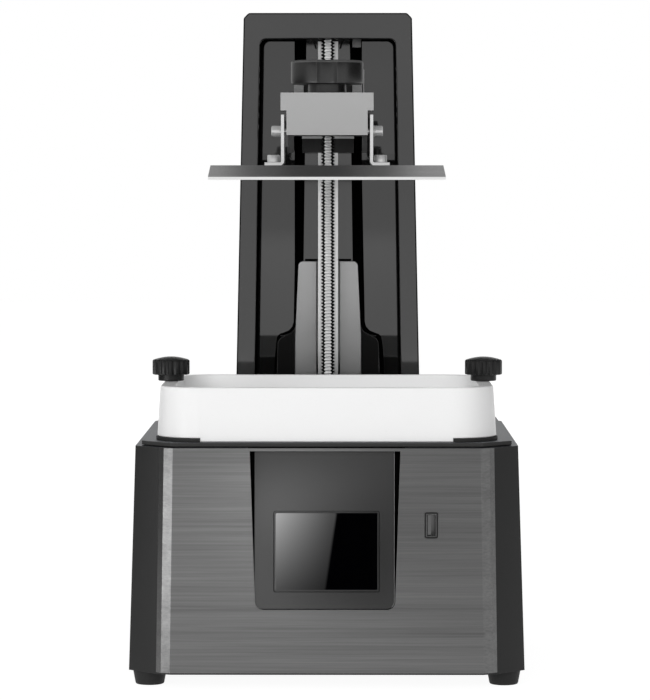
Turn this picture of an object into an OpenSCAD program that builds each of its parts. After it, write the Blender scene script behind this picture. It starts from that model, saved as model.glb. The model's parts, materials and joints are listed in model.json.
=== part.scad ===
// Desktop resin printer with its cover taken off.
// Origin: centre of the footprint, on the surface that it stands on. X right, Y back, Z up, in millimetres.

/* [Base housing] */
// Width of the base at its bottom edge
base_w = 221; // [215:1:235]
// Depth of the base at its bottom edge
base_d = 221; // [215:1:235]
// Height of the housing between the feet and the deck
base_h = 124.7; // [120:0.1:140]
// How far each side wall leans in over the height
side_draft = 4; // [1:0.5:5]
// How far the front and the rear lean in over the height
front_draft = 2; // [0.5:0.5:4]
// How far each pillar edge of the front leans in over the height
pillar_lean = 1.95; // [0.5:0.05:4]
// Wall of the moulded housing
shell_wall = 3; // [2.5:0.1:4]
// Leg of the chamfered front corners at the bottom
front_chamfer = 20.8; // [16:0.1:26]
// Leg of the small chamfers on the rear corners
rear_chamfer = 4; // [2:0.5:8]
// Width of the flange that carries the deck
flange_w = 9; // [7:0.5:11]
// Thickness of that flange
flange_t = 2.5; // [2:0.1:3.5]
// Thickness of the steel bottom plate
bottom_t = 1.5; // [1:0.1:2.5]
// Width of one vent slot in the bottom plate
vent_w = 4; // [3:0.5:5]
// Length of one vent slot in the bottom plate
vent_l = 44; // [30:1:60]
// Number of vent slots in a row
vent_count = 7; // [3:1:7]

/* [Feet] */
// Height of the rubber feet
foot_h = 9; // [6:0.5:14]
// Diameter of a foot where it meets the base
foot_top_d = 19; // [15:0.5:19]
// Diameter of a foot on the ground
foot_bottom_d = 16; // [12:0.5:18]
// Distance of a foot's middle from the side of the base
foot_side = 11.5; // [11.5:0.5:25]
// Distance of a foot's middle from the front or the rear of the base
foot_end = 24.5; // [24.5:0.5:40]
// Height of the posts inside the shell that the foot screws bite into
post_h = 14; // [8:1:20]
// Diameter of the foot screws
foot_screw_d = 4; // [3:0.5:5]

/* [Front panel] */
// Thickness of the brushed front panel
panel_t = 1.5; // [1:0.1:2]
// Width of the bevelled margin down each side of the panel
panel_bevel = 3; // [2:0.1:5]
// Angle of that bevel
bevel_angle = 22.5; // [15:0.5:30]
// Height of the shell left bare below the panel
panel_lift = 1.7; // [1:0.1:4]

/* [Operator screen] */
// Width of the cut-out at its top
recess_top_w = 83; // [79:0.2:88]
// Width of the cut-out at its bottom
recess_bottom_w = 77.4; // [75:0.2:78.5]
// Height of the bottom of the cut-out above the bottom of the housing
recess_up = 35.5; // [30:0.5:40]
// Strip of panel left above the cut-out
recess_bridge = 1.7; // [1.5:0.1:3]
// Radius of the bottom corners of the cut-out
recess_r = 4.5; // [2:0.1:8]
// How far the top of the screen face sits back from its bottom
screen_set = 7; // [4:0.5:9]
// Width of the screen face
face_w = 76.6; // [70:0.2:76.6]
// Depth of the tray behind the panel
tray_depth = 12; // [11:0.5:16]
// Wall of the tray
tray_wall = 1.5; // [1.2:0.1:2]
// Width of the touch glass
glass_w = 58.2; // [50:0.2:62]
// Height of the touch glass
glass_h = 44.4; // [38:0.2:48]
// Thickness of the touch glass
glass_t = 1.1; // [0.8:0.1:1.6]
// Height of the glass centre above the bottom of the cut-out
glass_up = 31.7; // [28:0.1:40]
// Ledge round the display opening that the glass is glued to
glass_ledge = 2; // [1:0.1:3]
// Thickness of the display module behind the glass
display_t = 4.5; // [3:0.1:5]

/* [USB port] */
// Distance of the port from the middle
usb_x = 57.8; // [50:0.2:70]
// Height of the port centre above the bottom of the housing
usb_up = 82.2; // [60:0.2:100]
// Width of the port's frame
usb_w = 7.3; // [7:0.1:9]
// Height of the port's frame
usb_h = 14.2; // [13.8:0.1:16]
// Width of the metal socket
socket_w = 5.6; // [5.2:0.1:6]
// Height of the metal socket
socket_h = 12.6; // [12.2:0.1:13]
// Length of the metal socket
socket_l = 14; // [10:0.5:18]
// Sheet thickness of the metal socket
socket_t = 0.4; // [0.3:0.05:0.6]

/* [Deck] */
// Margin between the housing's top edge and the deck
deck_inset = 3.5; // [2:0.1:5]
// Thickness of the deck's edge
deck_t = 2; // [1.5:0.1:3]
// Height of the shadow gap below the deck's edge
shadow_gap = 0.7; // [0.4:0.1:1.5]
// How far the shadow gap cuts in
shadow_in = 3; // [1:0.1:4]
// How far the masking screen reaches past each side of the film window
mask_lap = 3; // [0:0.5:6]
// Thickness of the masking screen
mask_t = 1.2; // [0.8:0.1:1.6]
// How far the masking screen stands above the deck
mask_proud = 0.3; // [0.1:0.05:0.35]
// Margin between the light window and each side of the film window
window_side = 7; // [5:0.5:12]
// Margin between the light window and the film window's front and back
window_end = 7.5; // [6:0.5:12]

/* [Light engine] */
// Gap between the bottom plate and the cooling fan
fan_rise = 10.9; // [8:0.1:20]
// Width of the lamp board
lamp_w = 70; // [60:1:80]
// Depth of the lamp board
lamp_d = 50; // [40:1:60]
// Thickness of the lamp board
lamp_t = 1.6; // [1:0.1:2.4]
// Wall of the light hood
light_wall = 1.6; // [1.2:0.1:2.5]
// Lamps across
lamp_cols = 6; // [3:1:7]
// Lamps front to back
lamp_rows = 4; // [2:1:5]
// Radius of one lamp lens
lens_r = 3.4; // [2:0.1:4]
// Height of the heat sink
sink_h = 24; // [16:1:26]
// Thickness of the heat sink's base
sink_base = 4; // [3:0.5:6]
// Number of heat sink fins
sink_fins = 12; // [6:1:16]
// Thickness of one fin
fin_t = 1.5; // [1:0.1:2]
// Side of the cooling fan
fan_w = 60; // [50:1:64]
// Thickness of the cooling fan
fan_t = 15; // [10:1:15]

/* [Boards and power] */
// Width of the main board
board_w = 88; // [70:1:90]
// Depth of the main board
board_d = 64; // [50:1:66]
// Height of the brass standoffs
standoff_h = 8; // [5:0.5:12]
// Gap between the main board and the power supply
boards_gap = 5; // [3:0.5:20]
// Depth of the power supply
supply_d = 64; // [50:1:68]
// Height of the power supply
supply_h = 31; // [24:1:40]

/* [Rear] */
// Width of the opening in the rear wall
rear_w = 168; // [150:1:176]
// Height of the wall left above the rear opening
rear_top = 15.7; // [13.5:0.1:25]
// Height of the bottom of that opening above the bottom of the housing
rear_up = 9; // [8:0.5:12]
// Thickness of the rear panel
rear_t = 1.5; // [1:0.1:2]
// How far the rear panel overlaps the wall
rear_lap = 4; // [3:0.5:5]
// Side of the exhaust fan
exhaust_w = 50; // [40:1:56]
// Thickness of the exhaust fan
exhaust_t = 12; // [10:1:15]
// Place of the exhaust fan, sideways
exhaust_x = -42; // [-50:1:-30]
// Height of the exhaust fan's centre above the bottom of the housing
exhaust_up = 72; // [64:1:78]
// Place of the mains inlet, sideways
inlet_x = 52; // [40:1:52]
// Height of the mains inlet's centre above the bottom of the housing
inlet_up = 72; // [60:1:80]
// Width of the inlet's flange
inlet_w = 50; // [48:0.5:54]
// Height of the inlet's flange
inlet_h = 28; // [27:0.5:32]
// How far the rocker swings between off and on
rocker_swing = 14; // [8:1:16]

/* [Tower] */
// Height of the tower above the deck
tower_h = 243.9; // [236:0.1:260]
// Width of the hood at its top
hood_top_w = 99.6; // [96:0.2:104]
// Width of the hood at the deck
hood_bottom_w = 110; // [106:0.2:116]
// Distance of the hood's back from the rear of the base
hood_rear = 6.5; // [6:0.5:9]
// Depth of the hood
hood_d = 67; // [64:0.5:68]
// Wall of the hood
hood_wall = 2.5; // [2:0.1:3]
// Chamfer on the hood's top corners
hood_chamfer = 3; // [1:0.1:6]
// Width of the hood's opening at its top
mouth_top_w = 80.4; // [76:0.2:84]
// Width of the hood's opening at the deck
mouth_bottom_w = 88; // [84:0.2:92]
// Height of hood above the opening
mouth_lip = 15.3; // [14.5:0.1:18]
// Radius of the opening's top corners
mouth_r = 4; // [2:0.1:8]
// Wall of the inner liner
liner_t = 1.5; // [1:0.1:2]
// Depth from the hood's front face to the liner's back wall
liner_depth = 61; // [58:0.5:61]
// Width of the liner's opening round the column
liner_gap_w = 41; // [40.8:0.2:44]
// Thickness of the tower's base plate below the deck
tower_plate_t = 5; // [4:0.5:8]

/* [Column and rail] */
// Width of the column
column_w = 27; // [25:0.5:28]
// Depth of the column
column_d = 21; // [18:0.5:21]
// Distance of the column's front face behind the hood's
column_set = 43; // [42.5:0.5:43]
// Width of the linear rail
rail_w = 12; // [9:0.5:13]
// Height of the linear rail
rail_h = 8; // [6.5:0.5:8]
// Spacing of the rail's screw holes
rail_pitch = 25; // [20:1:30]
// Height of the column cover above the deck
cover_h = 95.2; // [80:0.2:110]
// Width of the column cover at its top
cover_top_w = 36.4; // [34:0.2:38]
// Width of the column cover at its shoulder
cover_low_w = 40.3; // [38:0.1:40.6]
// Height of the shoulder above the deck
shoulder_h = 50.6; // [44:0.2:60]
// Thickness of the cover in front of the column
cover_t = 1.8; // [1.2:0.1:2]
// Width of the column foot
cast_w = 60.5; // [56:0.5:66]
// Height of the column foot's ears above the deck
cast_h = 41.6; // [36:0.2:44]
// Radius of the curve between an ear and the cover
cast_r = 9; // [6:0.5:9]

/* [Lead screw] */
// Diameter of the lead screw
screw_d = 8; // [6:0.5:9]
// Travel of the lift for one turn of the screw
screw_lead = 2; // [1:0.5:8]
// Distance of the lead screw behind the hood's front face
screw_set = 15; // [14:0.5:16]
// Diameter of the shaft coupler
coupler_d = 19; // [16:0.5:20]
// Length of the shaft coupler
coupler_l = 25; // [20:0.5:25]
// Height of the coupler above the deck
coupler_up = 1.2; // [1:0.1:2]
// Side of the motor
motor_w = 42.3; // [35:0.1:43]
// Height of the motor
motor_h = 40; // [30:1:45]
// Diameter of the motor's shaft
motor_shaft_d = 5; // [4:0.5:6]
// Outer diameter of the top bearing
bearing_d = 22; // [19:0.5:24]
// Thickness of the top bearing
bearing_t = 7; // [5:0.5:7]

/* [Lift and arm] */
// Height of the build plate's underside above the deck in the stored pose
plate_up = 145.1; // [130:0.1:150]
// How far the lift goes down from the stored pose
lift_down = 144; // [100:0.5:144]
// How far the lift goes up from the stored pose, to the limit switch
lift_up = 13; // [5:0.5:13]
// Width of the rail carriage
carriage_w = 27; // [25:0.5:30]
// Length of the rail carriage
carriage_l = 45.4; // [34:0.2:46]
// Thickness of the carriage's bridge in front of the rail
carriage_t = 5; // [4:0.5:5]
// Height of the carriage's lower end above the plate's underside
carriage_up = 16.5; // [16:0.1:20]
// Width of the dark plate on the carriage
saddle_w = 30.8; // [28:0.2:32]
// Thickness of that plate
saddle_t = 3; // [2:0.5:3]
// Width of the arm's tongue
tongue_w = 30; // [26:0.5:32]
// Height of the arm's tongue
tongue_h = 10.8; // [9:0.1:11]
// Height of the tongue's underside above the plate's underside
tongue_up = 29.7; // [29.7:0.1:31]
// Outer width of the arm's cheeks
cheek_w = 46.8; // [44:0.2:50]
// Thickness of a cheek
cheek_t = 3; // [2:0.5:4]
// Outer width of the two posts
post_w = 40.8; // [38:0.2:40.8]
// Width of the gap between the posts
post_gap = 29.2; // [28:0.2:32]
// Height of the posts' tops above the plate's underside
post_up = 66.1; // [60:0.1:68]
// Thickness of the arm's back wall
arm_back = 5.5; // [4:0.5:5.5]
// Sheet thickness of the flag beside the right post
flag_t = 0.9; // [0.6:0.1:1.5]

/* [Platform] */
// Gap between the build plate and the film window's edge, all round
plate_margin = 6.5; // [5:0.5:12]
// Thickness of the build plate
plate_t = 8.1; // [6:0.1:10]
// Height of the upright part of the build plate's edge
plate_edge = 1.6; // [1:0.1:3]
// How far the sloped part of the edge leans in
plate_slope = 1.4; // [0.5:0.1:4]
// Height of the clamp block's underside above the plate's underside
block_up = 25.3; // [24:0.1:26]
// Width of the lower part of the clamp block
block_low_w = 45.8; // [43:0.2:48]
// Width of the shouldered upper part of the clamp block
block_top_w = 52.5; // [50.5:0.1:56]
// Height of the lower part of the clamp block
block_low_h = 13.9; // [13:0.1:14.5]
// Height of the whole clamp block
block_h = 23.9; // [23:0.1:26]
// Depth of the clamp block
block_d = 41; // [36:0.5:44]
// Wall closing the front of the clamp block
block_front = 5; // [3:0.5:8]
// Sheet thickness of the angle brackets
bracket_t = 1.8; // [1.4:0.1:2.2]
// Depth of the angle brackets
bracket_d = 36; // [28:0.5:40]
// Height of the angle brackets
bracket_h = 28.8; // [26:0.1:29.2]
// Outward reach of a bracket's foot
bracket_reach = 9.3; // [8.5:0.1:12]
// Gap between the clamp block and a bracket, filled by washers
bracket_gap = 1.4; // [1:0.1:2]
// Spacing of the screws, front to back
screw_pitch = 22; // [16:0.5:24]
// Height of the side screws above the plate's top
side_screw_up = 19.6; // [19:0.1:21]
// Diameter of the side screws' heads
side_head_d = 5.4; // [5:0.1:6]
// Length of the side screws' heads
side_head_l = 4.6; // [3:0.1:6]
// How far the levelling slots let the plate rise
level_travel = 1.5; // [0.5:0.1:1.5]
// Diameter of the plate screws' heads
cap_head_d = 7; // [6:0.1:7.5]
// Height of the plate screws' heads
cap_head_h = 4.3; // [3:0.1:5]

/* [Clamp knob] */
// Diameter over the knob's lobes
knob_d = 42.8; // [36:0.2:46]
// Height of the lobed part
knob_h = 13.4; // [10:0.1:16]
// Number of lobes
knob_lobes = 5; // [4:1:8]
// Depth of the hollow between two lobes
lobe_depth = 1.8; // [1:0.1:3]
// Radius of that hollow
lobe_r = 9.2; // [7:0.1:14]
// Diameter of the knob's collar
knob_collar_d = 22; // [18:0.5:26]
// Height of the knob's collar
knob_collar_h = 5.8; // [4:0.1:8]
// Diameter of the clamp stud
clamp_stud_d = 6; // [5:0.5:8]
// Rise of the clamp stud for one turn
clamp_pitch = 1; // [0.8:0.1:1]
// Diameter of the pressure pad
pad_d = 12; // [10:0.5:14]
// Thickness of the pressure pad
pad_t = 2; // [1.5:0.1:2]

/* [Vat] */
// Distance of the vat from each side of the base
vat_side = 15.5; // [12.5:0.5:17.5]
// Distance of the vat from the front of the base
vat_front = 10; // [9:0.5:14]
// Gap between the vat and the hood
vat_gap = 3.5; // [2.5:0.5:6]
// Height of the vat
vat_h = 29.9; // [26:0.1:30]
// How far the vat's walls lean in
vat_draft = 1.8; // [0.5:0.1:3]
// Radius of the vat's corners
vat_r = 25; // [18:0.5:30]
// Moulded wall of the vat
vat_wall = 2.6; // [2:0.1:3]
// Width of the rim along the vat's two sides
rim_side = 8; // [7.5:0.1:10]
// Width of the rim along the front and the back
rim_front = 3.4; // [3:0.1:6]
// How far the basin's walls slope in towards the film
basin_slope = 7; // [4:0.5:9]
// Distance of the film window from each side of the vat
film_side = 22; // [20:0.5:25]
// Distance of the film window from the vat's front and back
film_end = 18; // [17:0.5:21]
// Thickness of the release film
film_t = 0.15; // [0.1:0.05:0.25]
// Width of the rib that stretches the film
rib_w = 2; // [1.5:0.1:3]
// Height of the rib that stretches the film
rib_h = 2; // [1.8:0.1:2.6]
// Width of the film frame
frame_w = 7; // [5:0.5:8]
// Thickness of the film frame
frame_t = 1.6; // [1:0.1:1.6]
// Height of the corner pads on the deck
pad_h = 2; // [1:0.1:3]
// Width of a corner pad
pad_w = 5; // [3:0.5:5.5]

/* [Vat screws] */
// Distance of a vat screw's middle from the side of the vat
vat_screw_in = 5.5; // [5:0.1:6.5]
// Diameter of the fluted knob
thumb_d = 21.2; // [18:0.2:24]
// Height of the fluted part
thumb_h = 8.3; // [6:0.1:12]
// Height of the domed top
thumb_dome = 2; // [1:0.1:3]
// Number of flutes
thumb_flutes = 16; // [8:1:24]
// Radius of one flute
flute_r = 1.3; // [0.8:0.1:1.6]
// Diameter of the knob's collar
thumb_collar_d = 14.7; // [12:0.1:17]
// Height of the knob's collar
thumb_collar_h = 3.5; // [2:0.1:5]
// Diameter of the vat screw's stud
stud_d = 4; // [3:0.5:4]
// Rise of the vat screw for one turn
stud_pitch = 0.7; // [0.5:0.1:0.7]
// How deep the stud reaches below the deck
stud_reach = 6; // [4:0.5:8]

/* [Fits] */
// Clearance between fixed pieces that nest
fit = 0.1; // [0.05:0.01:0.2]
// Radial clearance of a shaft in its bore
run = 0.06; // [0.03:0.01:0.09]
// Gap between pieces that move past each other
gap = 0.3; // [0.2:0.05:0.4]

/* [Hidden] */
$fn = 64;
EPS = 0.01;
REACH = 260;

// Sizes and places that follow from those above
foot_x = base_w / 2 - foot_side;
foot_y = base_d / 2 - foot_end;
hood_y = base_d / 2 - hood_rear - hood_d;
column_y = hood_y + column_set;
screw_y = hood_y + screw_set;

// The vat fills the deck in front of the tower, and the platform and the light share its middle
vat_w = base_w - 2 * vat_side;
vat_d = hood_y - vat_gap + base_d / 2 - vat_front;
work_y = hood_y - vat_gap - vat_d / 2;
vat_screw_x = vat_w / 2 - vat_screw_in;
film_w = vat_w - 2 * film_side;
film_d = vat_d - 2 * film_end;
mask_w = film_w + 2 * mask_lap;
mask_d = film_d;
window_w = film_w - 2 * window_side;
window_d = film_d - 2 * window_end;
plate_w = film_w - 2 * plate_margin;
plate_d = film_d - 2 * plate_margin;
rear_h = base_h - rear_up - rear_top;
light_h = base_h - bottom_t - fan_rise - fan_t - sink_h - lamp_t;

// Heights of the main levels
base_z = foot_h;
base_top = base_z + base_h;
deck_low = base_top + shadow_gap;
deck_z = deck_low + deck_t;
tower_top = deck_z + tower_h;

// Corners of the housing's front, at its bottom and at its top
corner_low = base_w / 2 - front_chamfer;
corner_high = corner_low - pillar_lean;
front_low = base_d / 2;
front_high = front_low - front_draft;
rear_corner_low = (base_w + base_d) / 2 - rear_chamfer;
rear_corner_high = rear_corner_low - side_draft - front_draft;

function corner_r(x, y) = (x + y) * cos(45);
function bevel_r(x, y) = (x - panel_bevel) * sin(bevel_angle) + y * cos(bevel_angle);

// The housing's walls: direction, distance at the bottom, distance at the top, and 0 side, 1 front, 2 rear
base_walls = [
  [0, base_w / 2, base_w / 2 - side_draft, 0],
  [180, base_w / 2, base_w / 2 - side_draft, 0],
  [90, front_low, front_high, 2],
  [270, front_low, front_high, 1],
  [45, rear_corner_low * cos(45), rear_corner_high * cos(45), 0],
  [135, rear_corner_low * cos(45), rear_corner_high * cos(45), 0],
  [225, corner_r(corner_low, front_low), corner_r(corner_high, front_high), 0],
  [315, corner_r(corner_low, front_low), corner_r(corner_high, front_high), 0],
  [270 - bevel_angle, bevel_r(corner_low, front_low), bevel_r(corner_high, front_high), 1],
  [270 + bevel_angle, bevel_r(corner_low, front_low), bevel_r(corner_high, front_high), 1]
];

function wall_r(wall, z) = wall[1] + (wall[2] - wall[1]) * (z - base_z) / base_h;
function front_y(z) = -front_low + front_draft * (z - base_z) / base_h;
lean = atan(front_draft / base_h);

// The housing's solid form between two heights, with its walls moved inwards
module base_form(side = 0, front = 0, rear = 0, low = base_z, high = base_top) {
  intersection_for(wall = base_walls) {
    inset = wall[3] == 0 ? side : wall[3] == 1 ? front : rear;
    rotate([0, 0, wall[0]])
      rotate([90, 0, 0])
        linear_extrude(REACH * 2, center = true)
          polygon([
            [-REACH, low], [wall_r(wall, low) - inset, low],
            [wall_r(wall, high) - inset, high], [-REACH, high]
          ]);
  }
}

// Outline of the housing's top edge, moved inwards
module top_outline(inset) {
  x = base_w / 2 - side_draft - inset;
  y = front_high - inset;
  front = corner_high + front_high - inset * sqrt(2);
  rear = min(rear_corner_high - inset * sqrt(2), x + y - 0.5);
  polygon([
    [-(front - y), -y], [front - y, -y], [x, -(front - x)], [x, rear - x],
    [rear - y, y], [-(rear - y), y], [-x, rear - x], [-x, -(front - x)]
  ]);
}

// Places children on the leaning front or rear wall: x across, y up the wall, z out of it
module on_rear(x, z, depth = 0) {
  translate([x, -front_y(z), z])
    rotate([90 - lean, 0, 180])
      translate([0, 0, -depth])
        children();
}

module on_front(x, z, depth = 0) {
  translate([x, front_y(z), z])
    rotate([90 - lean, 0, 0])
      translate([0, 0, -depth])
        children();
}

module rounded_rect(w, d, r) {
  union() {
    square([w - 2 * r, d], center = true);
    square([w, d - 2 * r], center = true);
    for (x = [-1, 1], y = [-1, 1])
      translate([x * (w / 2 - r), y * (d / 2 - r)])
        circle(r);
  }
}

module rounded_plate(w, d, r, h) {
  linear_extrude(h)
    rounded_rect(w, d, r);
}

module box(w, d, h) {
  translate([-w / 2, -d / 2, 0])
    cube([w, d, h]);
}

// A face outline that is square at the top and rounded at the bottom
module apron(top_w, bottom_w, low, high, r) {
  union() {
    polygon([
      [-top_w / 2, high], [-bottom_w / 2, low + r], [-bottom_w / 2 + r, low],
      [bottom_w / 2 - r, low], [bottom_w / 2, low + r], [top_w / 2, high]
    ]);
    for (side = [-1, 1])
      translate([side * (bottom_w / 2 - r), low + r])
        circle(r);
  }
}

// Extrudes an upright outline front to back between two places
module upright(y_from, y_to) {
  translate([0, y_to, 0])
    rotate([90, 0, 0])
      linear_extrude(y_to - y_from)
        children();
}

// Extrudes a side profile (y, z) across a width
module sideways(width) {
  rotate([90, 0, 90])
    linear_extrude(width, center = true)
      children();
}

// ---------------- base housing

recess_low = base_z + recess_up;
recess_high = base_top - recess_bridge;
tray_y = front_y(recess_low) + tray_depth;
rear_low = base_z + rear_up;
rear_high = rear_low + rear_h;

module recess_outline(grow = 0) {
  apron(recess_top_w + 2 * grow, recess_bottom_w + 2 * grow, recess_low - grow, recess_high + grow,
        recess_r + grow);
}

module foot_places() {
  for (x = [-1, 1], y = [-1, 1])
    translate([x * foot_x, y * foot_y, 0])
      children();
}

module base_shell() color("#383838") {
  difference() {
    union() {
      difference() {
        base_form(front = panel_t + fit);
        base_form(side = shell_wall, front = shell_wall + panel_t, rear = shell_wall, low = base_z - 1,
                  high = base_top - flange_t);
        translate([0, 0, base_top - flange_t - 1])
          linear_extrude(flange_t + 2)
            top_outline(flange_w);
      }
      intersection() {
        base_form(side = shell_wall / 2, front = shell_wall, rear = shell_wall / 2,
                  low = base_z + bottom_t, high = base_z + bottom_t + post_h);
        foot_places()
          translate([0, 0, base_z])
            cylinder(h = post_h * 2, d = foot_top_d);
      }
    }
    foot_places()
      translate([0, 0, base_z])
        cylinder(h = post_h, d = foot_screw_d - 2 * fit);
    upright(-base_d, tray_y + shell_wall)
      recess_outline(tray_wall + 4 * fit);
    on_front(usb_x, base_z + usb_up, socket_l)
      rounded_plate(usb_w + 2 * fit, usb_h + 2 * fit, 1, socket_l * 2);
    translate([0, base_d / 2, rear_low])
      box(rear_w, shell_wall * 6, rear_h);
  }
}

module bottom_plate() color("#4a4a4a") {
  inset = shell_wall + fit;
  difference() {
    base_form(side = inset, front = inset + panel_t, rear = inset, high = base_z + bottom_t);
    foot_places()
      translate([0, 0, base_z - 1])
        cylinder(h = bottom_t + 2, d = foot_screw_d + 2 * fit);
    for (i = [0 : vent_count - 1])
      translate([(i - (vent_count - 1) / 2) * vent_w * 2, work_y, base_z - 1])
        rounded_plate(vent_w, vent_l, vent_w / 2 - EPS, bottom_t + 2);
  }
}

module feet() color("#1c1c1c") {
  foot_places()
    difference() {
      cylinder(h = foot_h, d1 = foot_bottom_d, d2 = foot_top_d);
      translate([0, 0, -1])
        cylinder(h = foot_h * 0.6 + 1, d = foot_screw_d * 2);
      translate([0, 0, -1])
        cylinder(h = foot_h + 2, d = foot_screw_d + 2 * fit);
    }
}

module front_panel() color("#6e6e6e") {
  difference() {
    base_form(low = base_z + panel_lift);
    base_form(side = -2, front = panel_t, rear = -2, low = base_z, high = base_top + 1);
    upright(-base_d, -base_d / 4)
      recess_outline();
    on_front(usb_x, base_z + usb_up, panel_t * 2)
      rounded_plate(usb_w + 2 * fit, usb_h + 2 * fit, 1, panel_t * 4);
  }
}

// ---------------- operator screen

face_low = recess_low + gap;
face_high = recess_high - gap;
face_y = front_y(face_low) + fit;
face_tilt = atan(screen_set / (face_high - face_low));
face_r = recess_r - gap;

// Places children on the screen face: x across, y up the face, z out of it
module on_face(up, depth = 0) {
  translate([0, face_y, face_low])
    rotate([90 - face_tilt, 0, 0])
      translate([0, up, -depth])
        children();
}

module screen_bezel() color("#4c4c4c") {
  opening_w = glass_w - 2 * glass_ledge;
  opening_h = glass_h - 2 * glass_ledge;
  difference() {
    union() {
      intersection() {
        base_form(front = panel_t + fit, high = base_top - EPS);
        difference() {
          upright(-base_d, tray_y)
            recess_outline(tray_wall);
          upright(-base_d, tray_y - tray_wall)
            recess_outline(fit);
        }
      }
      intersection() {
        sideways(recess_top_w)
          polygon([
            [face_y, face_low], [face_y + screen_set, face_high],
            [tray_y - EPS, face_high], [tray_y - EPS, face_low]
          ]);
        upright(-base_d, tray_y)
          apron(face_w, face_w, face_low, face_high, face_r);
      }
    }
    on_face(glass_up, glass_t + fit)
      rounded_plate(glass_w + 2 * fit, glass_h + 2 * fit, 1, glass_t + 1);
    on_face(glass_up, tray_depth * 2)
      box(opening_w, opening_h, tray_depth * 2);
  }
}

module touch_glass() color("#0a0a0c") {
  on_face(glass_up, glass_t)
    rounded_plate(glass_w, glass_h, 1 - fit, glass_t - fit);
}

module display_module() color("#20242a") {
  w = glass_w - 2 * glass_ledge - 2 * fit;
  h = glass_h - 2 * glass_ledge - 2 * fit;
  on_face(glass_up, glass_t + display_t)
    box(w, h, display_t);
}

// ---------------- USB port

module usb_frame() color("#141414") {
  on_front(usb_x, base_z + usb_up, panel_t + shell_wall)
    difference() {
      rounded_plate(usb_w, usb_h, 0.9, panel_t + shell_wall);
      translate([0, 0, -1])
        box(socket_w + 2 * fit, socket_h + 2 * fit, panel_t + shell_wall + 2);
    }
}

module usb_socket() color("#a8aaae") {
  on_front(usb_x, base_z + usb_up, socket_l)
    union() {
      difference() {
        box(socket_w, socket_h, socket_l - fit);
        translate([0, 0, socket_t])
          box(socket_w - 2 * socket_t, socket_h - 2 * socket_t, socket_l);
      }
      translate([-socket_w / 5, 0, socket_t - EPS])
        box(socket_w / 3, socket_h - 4 * socket_t, socket_l - 2);
    }
}

// ---------------- deck

mask_z = deck_z + mask_proud - mask_t;
nut_flange_t = 1;

module at_vat_screws() {
  for (side = [-1, 1])
    translate([side * vat_screw_x, work_y, 0])
      children();
}

module deck_plate() color("#4a4a4a") {
  difference() {
    union() {
      translate([0, 0, base_top])
        linear_extrude(shadow_gap + deck_t / 2)
          top_outline(deck_inset + shadow_in);
      translate([0, 0, deck_low])
        linear_extrude(deck_t)
          top_outline(deck_inset);
    }
    translate([0, work_y, mask_z])
      box(mask_w + 2 * fit, mask_d + 2 * fit, mask_t + 1);
    translate([0, work_y, base_top - 1])
      box(window_w, window_d, deck_t + shadow_gap + 2);
    translate([0, screw_y, base_top - 1])
      cylinder(h = deck_t + shadow_gap + 2, d = coupler_d + 2);
    at_vat_screws()
      translate([0, 0, base_top - 1])
        cylinder(h = deck_t + shadow_gap + 2, d = stud_d + 3 + 2 * fit);
  }
}

module masking_screen() color("#101418") {
  translate([0, work_y, mask_z])
    box(mask_w, mask_d, mask_t);
}

module deck_nuts() color("#b08d4a") {
  at_vat_screws()
    difference() {
      union() {
        translate([0, 0, deck_z - stud_reach + 1])
          cylinder(h = stud_reach - 1 - fit, d = stud_d + 3);
        translate([0, 0, base_top - nut_flange_t - fit])
          cylinder(h = nut_flange_t, d = stud_d + 6);
      }
      translate([0, 0, deck_z - stud_reach])
        cylinder(h = stud_reach + 1, d = stud_d + 2 * run);
    }
}

module quarter_ring(r_out, r_in, h) {
  difference() {
    intersection() {
      cylinder(h = h, r = r_out);
      cube([r_out, r_out, h]);
    }
    translate([0, 0, -1])
      cylinder(h = h + 2, r = r_in);
  }
}

module at_vat_corners() {
  for (turn = [0 : 3]) {
    x = turn == 0 || turn == 3 ? 1 : -1;
    y = turn < 2 ? 1 : -1;
    translate([x * (vat_w / 2 - vat_r), work_y + y * (vat_d / 2 - vat_r), 0])
      rotate([0, 0, turn * 90])
        children();
  }
}

module corner_pads() color("#202020") {
  at_vat_corners()
    translate([0, 0, deck_z])
      quarter_ring(vat_r + 0.7, vat_r - pad_w, pad_h);
}

// ---------------- light engine

light_z = base_top - light_h;
lamp_z = light_z - lamp_t;
sink_z = lamp_z - sink_h;
fan_z = sink_z - fan_t;
sink_w = lamp_w + 14;
sink_d = lamp_d + 14;

// A box that tapers evenly from one rectangle to another
module taper_box(low_w, low_d, high_w, high_d, low, high) {
  intersection() {
    upright(-REACH, REACH)
      polygon([[-low_w / 2, low], [low_w / 2, low], [high_w / 2, high], [-high_w / 2, high]]);
    sideways(REACH * 2)
      polygon([[-low_d / 2, low], [low_d / 2, low], [high_d / 2, high], [-high_d / 2, high]]);
  }
}

module light_hood() color("#2b2b2b") {
  low_w = lamp_w - 2 * light_wall;
  low_d = lamp_d - 2 * light_wall;
  translate([0, work_y, 0])
    difference() {
      taper_box(lamp_w, lamp_d, window_w + 2 * light_wall, window_d + 2 * light_wall, light_z, base_top);
      taper_box(low_w, low_d, window_w, window_d, light_z - EPS, base_top + EPS);
    }
}

module at_lamps() {
  x_step = (lamp_w - 12) / lamp_cols;
  y_step = (lamp_d - 12) / lamp_rows;
  for (i = [0 : lamp_cols - 1], j = [0 : lamp_rows - 1])
    translate([(i - (lamp_cols - 1) / 2) * x_step, work_y + (j - (lamp_rows - 1) / 2) * y_step, 0])
      children();
}

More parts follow.
